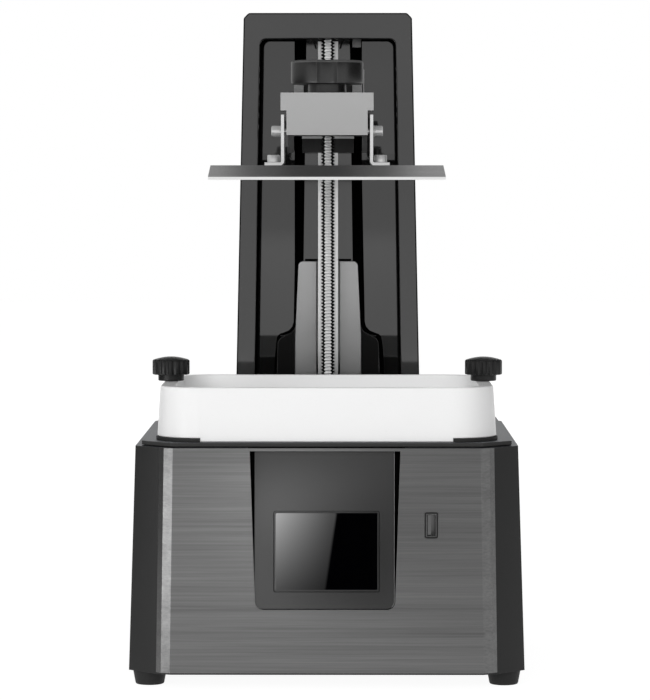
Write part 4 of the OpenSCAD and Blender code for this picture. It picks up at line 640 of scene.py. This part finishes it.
def glass_like(name, colour, roughness, ior, smear=0.04, transmission=0.0):
    """Polished glass or film with a faint film of touch marks in its gloss."""
    material, tree, shader, where = new_finish(name, {"IOR": ior, "Transmission Weight": transmission})
    touched = add_group(tree, surface_grain, {"Vector": where, "Tone Scale": 60.0})["Tone"]
    wire(tree, shader, {"Base Color": mixed_colour(tree, touched, shaded(colour, 0.8), colour),
                        "Roughness": ramp(tree, touched, 0.35, 0.75, roughness, roughness + smear)})
    return material


touch_gloss = glass_like("touch_gloss", (0.0005, 0.0005, 0.0008, 1), 0.0, 1.9, smear=0.02)
pane_gap = 0.75 * MM
pane_low, pane_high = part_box("touch_glass")
pane_mid, pane_size = (pane_low + pane_high) / 2, pane_high - pane_low


def shrunk(point):
    """The pane sits with an even gap round it."""
    off = point - pane_mid
    return Vector((pane_mid.x + off.x * (1 - 2 * pane_gap / pane_size.x), point.y,
                   pane_mid.z + off.z * (1 - 2 * pane_gap / pane_size.z)))


eased("touch_glass", "touch_pane", 0.25, touch_gloss, "touch_glass", reshape=shrunk)
dress(dead_black, "display_module")


# ---- USB port
# A black moulded frame pressed into the front panel. It surrounds the mouth of a socket, a shell folded from thin
# tin-plated steel.
eased("usb_frame", "port_frame", 0.3, coated("port_plastic", grey(0.012), 0.35, grain=2400, dust=0.0), "port_plastic")
port_metal = brushed("port_metal", grey(0.15), 0.25, across=1600, spread=0.1)
eased("usb_socket", "port_socket", 0.08, port_metal, "port_metal")


# ---- deck
# A dark anodised plate over the housing, with a shadow gap under its edge. It carries the masking screen, flush in
# its middle, and a rubber pad under each corner of the vat.
deck_metal = coated("deck_metal", (0.107, 0.113, 0.125, 1), 0.42, grain=1600, depth=0.05, wear_and_highlight=0.3, dust=0.03,
                    metallic=0.65, shine=0.1)
eased("base_shell", "housing", 0.5, housing_coat, "housing_coat", inner=deck_metal,
      within=lambda face: face.normal.z > 0.7 and face.center.z > 0.13, reshape=lambda point: lower_rim(point, 0.9))
# The deck plate's side faces get a duller, darker grey than its top: painted shade.
eased("deck_plate", "deck_top", 0.35, deck_metal, "deck_metal", within=lambda face: abs(face.normal.z) < 0.3,
      inner=coated("deck_side", grey(0.036), 0.5, grain=1600, shine=0.1))
pad_rubber = coated("pad_rubber", grey(0.02), 0.6, grain=1500, depth=0.1, dust=0.0)
eased("corner_pads", "vat_pads", 0.3, pad_rubber, "pad_rubber")
dress(glass_like("mask_glass", (0.02, 0.022, 0.028, 1), 0.04, 1.5), "masking_screen")


# ---- light engine, boards and power
# Under the deck: a folded hood, an array of lamps on a white board, its heat sink and fan, the main board on brass
# standoffs and the power supply. They show only where something is lifted out or seen from below.
dress(coated("hood_black", grey(0.025), 0.55), "light_hood")
dress(glass_like("lens_clear", (0.85, 0.88, 0.92, 1), 0.05, 1.49, transmission=0.9), "lamp_lenses")
dress(coated("lamp_board", grey(0.72), 0.45, grain=900, spread=0.05), "lamp_board")
dress(brushed("sink_metal", grey(0.5), 0.35, along=900, across=8), "heat_sink")
dress(coated("fan_plastic", grey(0.018), 0.42, grain=1500), "cooling_fan_frame", "cooling_fan_rotor",
      "exhaust_fan_frame", "exhaust_fan_rotor")
dress(coated("board_green", (0.015, 0.085, 0.04, 1), 0.35, grain=700, spread=0.3, coat=0.3), "main_board")
brass_turned = brushed("brass_turned", (0.62, 0.42, 0.16, 1), 0.28, along=400, across=400, spread=0.15)
dress(brass_turned, "board_standoffs", "deck_nuts")
dress(brushed("supply_case", grey(0.5), 0.38, along=8, across=700), "power_supply")


# ---- rear panel
# Black sheet that closes the base behind, with a round grille for the exhaust fan. The mains inlet snaps into it
# and carries a red rocker switch.
rear_sheet = coated("rear_sheet", grey(0.03), 0.45, grain=1500, depth=0.1)
eased("rear_panel", "rear_sheet", 0.2, rear_sheet, "rear_sheet", angle=40)
inlet_plastic = coated("inlet_plastic", grey(0.012), 0.3, grain=2000, dust=0.02)
eased("mains_inlet", "mains_socket", 0.3, inlet_plastic, "inlet_plastic", angle=40)
rocker_red = coated("rocker_red", (0.42, 0.02, 0.015, 1), 0.28, grain=2000, wear_and_highlight=0.2)
eased("rocker_switch", "power_rocker", 0.4, rocker_red, "rocker_red", angle=40)


# ---- tower
# A folded hood of thin sheet in a glossy black coat, open in front. Inside its mouth stands a glossy liner whose
# back wall is slit for the column; a cover closes the back, and a heavy plate under the deck carries it all.
hood_gloss = coated("hood_gloss", grey(0.009), 0.05, grain=500, depth=0.004, edge=grey(0.05), wear_and_highlight=0.25, dust=0.02,
                    ior=1.72, spread=0.3, shine=0.5)
hood_half, hood_spread, hood_top, hood_rim = 0.0475, 0.012, 0.38, 0.0015


def painted_dark_rim(face):
    """Painted shade: the broken edge round the outside of the hood's front, given dead black as a dark outline."""
    x, y, z = face.center
    beside = abs(x) > hood_half + (hood_top - z) * hood_spread
    return (beside or z > hood_top - hood_rim) and y < 0.038 and -0.97 < face.normal.y < -0.02


part_finish(eased("tower_hood", "hood", 0.75, hood_gloss, "hood_coat", angle=20), [dead_black], painted_dark_rim)
liner_gloss = coated("liner_gloss", grey(0.007), 0.03, grain=400, depth=0.002, edge=grey(0.03), wear_and_highlight=0.2, dust=0.0,
                     ior=1.7, spread=0.3, shine=0.5)
liner_foot, liner_lean, back_wall_y = 0.137, 0.03, 0.0975
roof_raise, roof_z, roof_y = 4.2, 0.358, 0.045


def leaning(point):
    """The liner's back wall leans forward, so its top is 7 mm nearer the front than its foot; its roof is raised."""
    forward = max(0.0, point.z - liner_foot) * liner_lean if point.y > back_wall_y else 0
    raised = roof_raise * MM if point.z > roof_z and point.y > roof_y else 0
    return Vector((point.x, point.y - forward, point.z + raised))


# One half of the slit: straight at the foot, narrowed by a shoulder, then nearly straight to the top.
half_slit = [(34.6, 135), (34.3, 150), (33.5, 174.5), (32.7, 183), (32, 186.3), (30.4, 187.7), (28.6, 188.3),
             (25, 189.8), (22.9, 192.2), (22.1, 195), (20.4, 281), (19.2, 378)]
slit = prism("slit", [(x + 0.3, z) for x, z in half_slit] + [(0.9 - x, z) for x, z in reversed(half_slit)], 88, 101)
# All the liner's faces but the front of its back wall get painted shade in dead black.
eased("tower_liner", "liner", 0.0, liner_gloss, "liner_plastic", angle=35, reshape=leaning, cutter=slit,
      inner=dead_black, within=lambda face: face.normal.y > -0.9 or face.center.y < 0.085)
# The rear cover's face turned into the hood gets painted shade in dead black.
eased("tower_rear_cover", "hood_back", 0.3, rear_sheet, "rear_sheet", inner=dead_black,
      within=lambda face: face.normal.y < -0.9)
dress(brushed("mill_metal", grey(0.45), 0.4, along=60, across=500), "tower_plate")
dress(coated("motor_coat", grey(0.035), 0.4, grain=1200), "lift_motor")


# ---- column
# An anodised extrusion bolted to a cast foot. A satin grey cover hides its lower half, wide at the shoulder, and a
# ground steel rail runs up its face.
column_coat = coated("column_coat", grey(0.008), 0.1, grain=900, depth=0.01, wear_and_highlight=0.6, ior=1.78, shine=0.5)
column_head, head_width, widening, widest = 0.36, 0.987, 1.75, 1.21


def tapered(point):
    """The column widens from its head down, as far as the cover."""
    width = head_width + max(0.0, column_head - point.z) * widening
    return Vector((point.x * min(widest, width), point.y, point.z))


eased("column", "column_profile", 0.3, column_coat, "frame_metal", angle=40, reshape=tapered)
# The foot's edges are lightened strongly: a painted highlight line, with wear.
foot_cast = coated("foot_cast", grey(0.004), 0.35, grain=1200, depth=0.15, edge=grey(0.16), wear_and_highlight=1.6, shine=0.1)
flange_z, ear_foot, ear_shoulder, ear_top = 142, 150, 178.5, 186
ear_x, ear_spread, ear_rise, ear_squeeze = 0.0215, 0.055, 8.8, 0.31


def foot_ears(point):
    """The foot's ears stand higher and spread a little towards their base."""
    z = point.z / MM
    spread = ear_spread * (max(0.0, ear_top - z) / 50 if z > flange_z else 1) if abs(point.x) > ear_x else 0
    rise = ear_rise - max(0.0, z - ear_shoulder) * ear_squeeze if z > ear_foot else 0
    return Vector((point.x * (1 + spread), point.y, point.z + rise * MM))


cast_foot = eased("column_foot", "cast_foot", 0.8, foot_cast, "foot_cast", angle=35, reshape=foot_ears)
# Its front bevels get a lighter grey: a painted highlight line round its outline.
part_finish(cast_foot, [coated("foot_rim", grey(0.2), 0.4, grain=1200, edge=grey(0.2), wear_and_highlight=1.0)],
            lambda face: -0.96 < face.normal.y < -0.3 and face.center.z > 0.142)
cover_satin = coated("cover_satin", grey(0.43), 0.4, grain=1800, depth=0.03, wear_and_highlight=0.3, dust=0.0, metallic=1.0)
eased("column_cover", "column_shroud", 0.4, cover_satin, "cover_plastic", angle=35,
      reshape=lambda point: point + Vector((0, 0, 1.0 * MM * (point.z > 0.22))))
# A black bar of painted shadow in the joint between the cover's top and the column.
shadow_lip = bar("shadow_lip", half=14, low=232.7, high=233.9, near=78.6, far=80.2, material=dead_black)
fitted(shadow_lip, "root", "cover_plastic")
rail_ground = brushed("rail_ground", grey(0.8), 0.3, along=700, across=700, spread=0.05, turn=(0, math.pi / 2, 0))
eased("linear_rail", "guide_rail", 0.2, rail_ground, "rail_steel", angle=40)
eased("limit_switch", "end_switch", 0.3, coated("switch_plastic", grey(0.14), 0.45), "switch_plastic")
block_anodised = coated("block_anodised", grey(0.09), 0.35, grain=1500, metallic=0.7, wear_and_highlight=0.6)
boss_cut = bar("boss_cut", half=15, low=355, high=366.78, near=36, far=66)
eased("top_bearing_block", "bearing_block", 0.4, block_anodised, "block_metal", cutter=boss_cut)
# Two thin dark curved strips on the column's face, one each side of the screw under the bearing's block: painted shade
# of the bearing seat's outline.
shade_arc_curve, shade_arc_width = [(10.9, 366.7), (9.6, 365.2), (8.5, 363.2), (7.9, 361.0)], 1.3
web = shade_arc_curve + [(x - shade_arc_width, z - 0.2) for x, z in reversed(shade_arc_curve)]
bearing_webs = join_pieces("bearing_webs", [prism("web", [(side * x, z) for x, z in web], 79.3, 80.2, foot_cast)
                                            for side in (-1, 1)])
fitted(bearing_webs, "root", "foot_cast")
dress(brushed("bearing_steel", grey(0.6), 0.2, along=500, across=500), "top_bearing")


# ---- lead screw
# A rolled trapezoidal thread of 8 mm with a 2 mm pitch, in a clamped coupler on the motor's shaft. Its tree rolls a
# grid, with the angle for x and the height for z, into a tube whose radius follows the thread.
rolled_thread, given, out = node_group(
    "rolled_thread", {"Points": "Geometry", "Pitch": "Float", "Root": "Float", "Crest": "Float", "Finish": "Material"},
    {"Thread": "Geometry"}, "GeometryNodeTree")
place = add_node(rolled_thread, "ShaderNodeSeparateXYZ",
                 {0: add_node(rolled_thread, "GeometryNodeInputPosition").outputs[0]})
angle, height = place.outputs[0], place.outputs[2]
turns = maths(rolled_thread, "SUBTRACT", maths(rolled_thread, "DIVIDE", height, given["Pitch"]),
              maths(rolled_thread, "DIVIDE", angle, 2 * math.pi))
radius = ramp(rolled_thread, maths(rolled_thread, "PINGPONG", turns, 0.5), 0.11, 0.36, given["Root"], given["Crest"])
around, aside = [product(rolled_thread, radius, maths(rolled_thread, wave, angle)) for wave in ("COSINE", "SINE")]
rolled = add_node(rolled_thread, "ShaderNodeCombineXYZ", {0: around, 1: aside, 2: height})
moved = add_node(rolled_thread, "GeometryNodeSetPosition",
                 {"Geometry": given["Points"], "Position": rolled.outputs[0]})
closed = add_node(rolled_thread, "GeometryNodeMergeByDistance", {"Geometry": moved.outputs[0], "Distance": 1e-6})
finish_tree(rolled_thread, closed, given["Finish"], out)

rod_low, rod_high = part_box("lead_screw")
rod_y = (rod_low.y + rod_high.y) / 2
rod_foot, rod_top, thread_top = rod_low.z / MM, rod_high.z / MM, 371.5
pitch, root_r, crest_r, journal_r = 2.0, 2.9, 4.0, 3.9
# rim paints shade on the screw's sides, so the thread turns dark towards its outline.
screw_steel = brushed("screw_steel", grey(0.92), 0.32, along=120, across=120, depth=0.01, spread=0.06, wear_and_highlight=0.0,
                      metallic=0.42, rim=(0.14, 0.2, (0, rod_y, 0)))
steps, row_steps = 24, 8
rows, row = int((thread_top - rod_foot) / pitch * row_steps), steps + 1
grid = new_mesh("lead_rod", [(2 * math.pi * i / steps, 0, (rod_foot + (thread_top - rod_foot) * j / rows) * MM)
                             for j in range(rows + 1) for i in range(row)],
                [(j * row + i, j * row + i + 1, (j + 1) * row + i + 1, (j + 1) * row + i)
                 for j in range(rows) for i in range(steps)])
threaded = run_tree("lead_rod", rolled_thread, grid,
                    {"Pitch": pitch * MM, "Root": root_r * MM, "Crest": crest_r * MM, "Finish": screw_steel})
shape = bmesh.new()
shape.from_mesh(threaded.data)
bmesh.ops.holes_fill(shape, edges=[edge for edge in shape.edges if edge.is_boundary], sides=0)
bmesh.ops.translate(shape, verts=shape.verts, vec=(0, rod_y, 0))
bmesh.ops.recalc_face_normals(shape, faces=shape.faces)
shape.to_mesh(threaded.data)
shape.free()
threaded.data.shade_smooth()
threaded.data.set_sharp_from_angle(angle=math.radians(50))
journal = turned("journal", [(0, thread_top - 0.2), (3.4, thread_top - 0.2), (journal_r, thread_top + 0.3),
                             (journal_r, rod_top - 0.5), (3.4, rod_top), (0, rod_top)], screw_steel,
                 centre=(0, rod_y / MM), steps=32)
fitted(join_pieces("lead_rod_whole", [threaded, journal]), "screw", "screw_steel", "lead_screw")
dress(brushed("coupler_metal", grey(0.6), 0.28, along=500, across=500), "shaft_coupler", "motor_shaft")


# ---- lift
# The rail's carriage carries a black plate, and on it a blasted casting: two cheeks, a back wall with two posts and
# the tongue that the clamp block slides over. A brass nut in it rides on the lead screw.
carriage_steel = coated("carriage_steel", grey(0.05), 0.3, grain=1200, metallic=0.8, wear_and_highlight=0.6)
eased("rail_carriage", "rail_block", 0.4, carriage_steel, "carriage_steel")
saddle_black = coated("saddle_black", grey(0.02), 0.35, grain=1500, wear_and_highlight=0.8, edge=grey(0.2))
eased("carriage_plate", "saddle_plate", 0.4, saddle_black, "saddle_metal")
arm_blasted = coated("arm_blasted", grey(0.3), 0.45, grain=2400, depth=0.15, metallic=0.7, wear_and_highlight=0.5)
eased("platform_arm", "arm_casting", 0.4, arm_blasted, "arm_metal")
# A bright thin bar across the arm: a painted highlight line along its lower edge.
arm_lip = bar("arm_lip", half=15.6, low=306.5, high=307.9, near=62.6, far=63.9,
              material=coated("arm_lip", grey(0.75), 0.4, metallic=0.4))
fitted(arm_lip, "lift", "arm_metal")
dress(brass_turned, "lead_nut")


# ---- clamp block and platform
# A bead-blasted silver block on the tongue. Two bright sheet brackets hang the machined build plate from it, held
# by two screws each way, in slots that level the plate. The rail's bolts, sunk in its counterbores, are alike.
block_silver = coated("block_silver", grey(0.34), 0.5, grain=3200, depth=0.2, spread=0.04, wear_and_highlight=0.9, dust=0.02,
                      edge=grey(0.62))
eased("clamp_block", "silver_block", 0.5, block_silver, "block_silver", angle=40)
bracket_steel = brushed("bracket_steel", grey(0.7), 0.28, along=30, across=900, spread=0.06, wear_and_highlight=0.5)
eased("plate_brackets", "sheet_brackets", 0.25, bracket_steel, "bracket_steel", angle=40)
plate_metal = brushed("plate_metal", grey(0.76), 0.13, along=10, across=700, spread=0.1, wear_and_highlight=0.8)
eased("build_plate", "ground_plate", 0.3, plate_metal, "plate_metal", angle=10)
dress(brushed("pad_steel", grey(0.4), 0.3), "pressure_pad")
fastener_steel = brushed("fastener_steel", grey(0.57), 0.2, along=400, across=400, spread=0.1, metallic=0.5)


def hexagon(turn):
    half = math.radians(30)
    return math.cos(half) / math.cos((turn % math.radians(60)) - half)


def cap_screw(name, head_d, head_h, shank_d, shank_l, socket, washer=None, ridge_depth=0.035, ridges=24):
    """A socket cap screw standing on z = 0: knurled head, hexagon socket, shank down, washer under the head."""
    def ridge(turn):
        return 1 - ridge_depth * abs(2 * ((turn * ridges / (2 * math.pi)) % 1) - 1)

    r, s, k, base = head_d / 2, shank_d / 2, socket / 2, 0
    profile = [(0, -shank_l), (s - 0.3, -shank_l), (s, -shank_l + 0.4), (s, 0)]
    if washer:
        rim, base = washer[0] / 2, washer[1]
        profile += [(rim - 0.1, 0), (rim, 0.1), (rim, base - 0.1), (rim - 0.1, base), (r - 0.2, base)]
    top = base + head_h
    profile += [(r - 0.25, base), (r, base + 0.25, ridge), (r, top - 0.45, ridge), (r - 0.2, top - 0.12),
                (r - 0.5, top), (k + 0.25, top), (k, top - 0.2, hexagon), (k, top - 1.8, hexagon),
                (k * 0.6, top - 2.1), (0, top - 2.3)]
    return turned(name, profile, fastener_steel, steps=ridges * 2, smooth=35)


def outwards(place):
    return (0, math.copysign(math.pi / 2, place[0]), 0)


def forwards(place):
    return (math.pi / 2, 0, 0)


work_y, screw_gap = -33.5, 11
side_x, side_z, plate_x, plate_z = 26.2, 309.2, 30.45, 291.4
corners = [(sign, work_y + row * screw_gap) for sign in (-1, 1) for row in (-1, 1)]
repeated("side_cap_screws", cap_screw("m3_cap", 6.2, 4.6, 3.0, 8.2, 2.5, washer=(6.4, 0.8), ridge_depth=0.0),
         [(sign * side_x, y, side_z) for sign, y in corners], outwards, "platform", "fastener_steel", "side_screws")
repeated("plate_cap_screws", cap_screw("m4_cap", 7.0, 4.3, 4.0, 6.6, 3.0),
         [(sign * plate_x, y, plate_z) for sign, y in corners], upright, "plate", "fastener_steel", "plate_screws")
rail_low, rail_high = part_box("linear_rail")
rail_length = (rail_high.z - rail_low.z) / MM
bolt_gap, bolt_y = 25, 74.5
bolts = int((rail_length - 10) // bolt_gap) + 1
first_bolt = rail_low.z / MM + (rail_length - (bolts - 1) * bolt_gap) / 2
repeated("rail_bolts", cap_screw("rail_bolt", 5.4, 2.2, 2.4, 1.2, 2.5),
         [(0, bolt_y, first_bolt + i * bolt_gap) for i in range(bolts)], forwards, "root", "fastener_steel")


# ---- clamp knob
# Satin black moulding with four broad hollows in its rim, on a plain collar and a steel stud that presses the pad
# down.
def scallop(radius, count, cutter, depth, phase):
    """Shape of a turned part with hollows milled into its side by a round cutter."""
    centre = radius - depth + cutter

    def shape(turn):
        step = 2 * math.pi / count
        off = (turn - phase + step / 2) % step - step / 2
        side = centre * math.sin(off)
        if abs(side) >= cutter or math.cos(off) < 0:
            return 1.0
        reach = centre * math.cos(off) - math.sqrt(cutter ** 2 - side ** 2)
        return min(1.0, reach / radius)

    return shape


knob_plastic = coated("knob_plastic", grey(0.008), 0.3, grain=2400, depth=0.04, wear_and_highlight=0.7, dust=0.02,
                      edge=grey(0.12), shine=0.55)
knob_r, collar_r, stud_r, stud_foot, collar_z = 21.4, 11.0, 3.0, 323.3, 331.0
lobes = scallop(knob_r, 4, 7.6, 3.2, math.radians(-90))
stud = [(0, stud_foot), (2.5, stud_foot), (2.5, stud_foot + 1), (stud_r, stud_foot + 1.1), (stud_r, collar_z)]
collar = [(collar_r - 0.4, 0), (collar_r, 0.4), (collar_r, 4.7), (collar_r + 0.2, 5.0)]
rim = [(20.2, 5.0, lobes), (21.0, 5.3, lobes), (knob_r, 6.2, lobes), (knob_r, 16.9, lobes), (21.2, 17.6, lobes),
       (20.5, 18.2, lobes), (19.4, 18.4, lobes)]
top = [(18.4, 18.3), (16.0, 17.9), (8.0, 17.7), (0, 17.7)]
clamp_knob = turned("knob_lobed", stud + [(r, collar_z + z, *shape) for r, z, *shape in collar + rim + top],
                    knob_plastic, centre=(0, work_y), steps=160, smooth=30)
# The rim's top fillet gets a lighter grey: a painted highlight line.
part_finish(clamp_knob, [coated("knob_rim", grey(0.065), 0.4, grain=2400, edge=grey(0.2))],
            lambda face: 17.2 < face.center.z / MM - collar_z < 18.35)
fitted(clamp_knob, "knob", "knob_plastic", "clamp_knob")


# ---- vat
# One white moulding: drafted outer walls with broad corners, a rim, and a basin that slopes in to the film window.
# Its corners are cut up from below, where the deck's pads stand.
vat_low, vat_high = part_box("vat_body")
vat_half_w, vat_half_d = (vat_high.x - vat_low.x) / 2 / MM, (vat_high.y - vat_low.y) / 2 / MM
vat_z, vat_top = vat_low.z / MM, vat_high.z / MM


def ring_loop(half_w, half_d, r, z, lift=0.0, steps=14):
    """A rounded rectangle of points; the corner arcs can lie higher than the sides."""
    loop = []
    for corner in range(4):
        x = half_w - r if corner in (0, 3) else r - half_w
        y = half_d - r + work_y if corner < 2 else r - half_d + work_y
        turns = [math.radians(90 * corner + 90 * i / steps) for i in range(steps + 1)]
        arc = [(x + r * math.cos(a), y + r * math.sin(a), z + lift) for a in turns]
        loop += [(*arc[0][:2], z), *arc, (*arc[-1][:2], z)]
    return loop


def ring_loft(name, loops, material):
    """Skins closed loops one after another, the last back to the first, into a closed ring."""
    count = len(loops[0])
    total = count * len(loops)
    faces = [(j + i, j + (i + 1) % count, (j + count) % total + (i + 1) % count, (j + count) % total + i)
             for j in range(0, total, count) for i in range(count)]
    return solid(name, [point for loop in loops for point in loop], faces, material, 30)


def outer_wall(z, inset=0.0, lift=0.0):
    lean = 1.8 * (z - vat_z) / 29.9 + inset
    return ring_loop(vat_half_w - lean, vat_half_d - lean, 25 - lean, z, lift)


def basin_wall(z, grow=0.0):
    narrow = 7 * (vat_top - z) / 24.8 - grow
    return ring_loop(85.2 - narrow, 61.8 - narrow, 19.6 - narrow, z)


window, window_r, basin_z, film_z = (73, 49), 1.5, 141.7, 137.1
cavity_top, edge_r, pad_lift = vat_top - 2.6, 0.9, 2.0
mouth_r = edge_r * 0.8
under = [ring_loop(*window, window_r, film_z), ring_loop(75, 51, 2.5, film_z), ring_loop(75, 51, 2.5, 139.1),
         ring_loop(82, 58, 3, 139.1), ring_loop(82, 58, 3, basin_z), ring_loop(80.9, 57.5, 15.2, basin_z + 0.02),
         ring_loop(87.07, 62.3, 21, cavity_top), ring_loop(90.76, 62.76, 20.8, cavity_top)]
outside = [outer_wall(vat_z, 2.6, pad_lift), outer_wall(vat_z, 0.4, pad_lift), outer_wall(vat_z + 0.4, 0.0, pad_lift)]
rim = [outer_wall(vat_top - edge_r + edge_r * math.sin(a), edge_r * (1 - math.cos(a)))
       for a in (math.pi / 8 * i for i in range(5))]
mouth = [basin_wall(vat_top - mouth_r * (1 - math.cos(a)), mouth_r * (1 - math.sin(a)))
         for a in (0, math.pi / 4, math.pi / 2)]
basin = [basin_wall(142.6), basin_wall(142.0, -0.5), basin_wall(basin_z, -1.4), ring_loop(*window, window_r, basin_z)]
vat_white = coated("vat_white", grey(0.77), 0.3, grain=1600, depth=0.02, edge=grey(0.92), wear_and_highlight=0.3, dust=0.0,
                   spread=0.01)
vat_shell = ring_loft("vat_moulding", under + outside + rim + mouth + basin, vat_white)
fitted(vat_shell, "vat", "vat_white", "vat_body")
dress(brushed("frame_steel", grey(0.5), 0.3), "film_frame")
dress(glass_like("release_film", (0.86, 0.9, 0.93, 1), 0.05, 1.34, transmission=0.95), "release_film")


# ---- vat screws
# Two black moulded knobs with sixteen flutes and a domed top. Each stands on a collar and turns a stud that a ring
# keeps in the vat.
thumb_plastic = coated("thumb_plastic", grey(0.012), 0.34, grain=2200, depth=0.05, wear_and_highlight=0.25, dust=0.03,
                       edge=grey(0.09))
thumb_x, thumb_r, thumb_z, dome_h, flute_count = 89.5, 10.6, vat_top + 0.2, 2, 16
thumb_foot = 130.9 - thumb_z
flutes = scallop(thumb_r, flute_count, 1.3, 0.845, math.pi / flute_count)
dome = [(r, 11.8 + dome_h * (1 - (r / thumb_r) ** 2))
        for r in (9.6 * math.sin(math.radians(a)) for a in (90, 75, 60, 45, 30, 15))]
thumb_profile = [
    (0, thumb_foot), (1.7, thumb_foot), (2.0, thumb_foot + 0.4), (2.0, 0), (7.0, 0), (7.35, 0.35), (7.35, 3.5),
    (9.9, 3.5, flutes), (10.4, 3.7, flutes), (thumb_r, 4.2, flutes), (thumb_r, 11.2, flutes), (10.45, 11.65, flutes),
    (10.1, 11.9, flutes), *dome, (0, 13.8)]
for side, name in ((-1, "left"), (1, "right")):
    thumb = turned(name + "_thumb_knob", [(r, thumb_z + z, *shape) for r, z, *shape in thumb_profile], thumb_plastic,
                   centre=(side * thumb_x, work_y), steps=192, smooth=34)
    fitted(thumb, name + "_screw", "knob_plastic", name + "_thumb_screw")
    dress(fastener_steel, name + "_screw_ring")
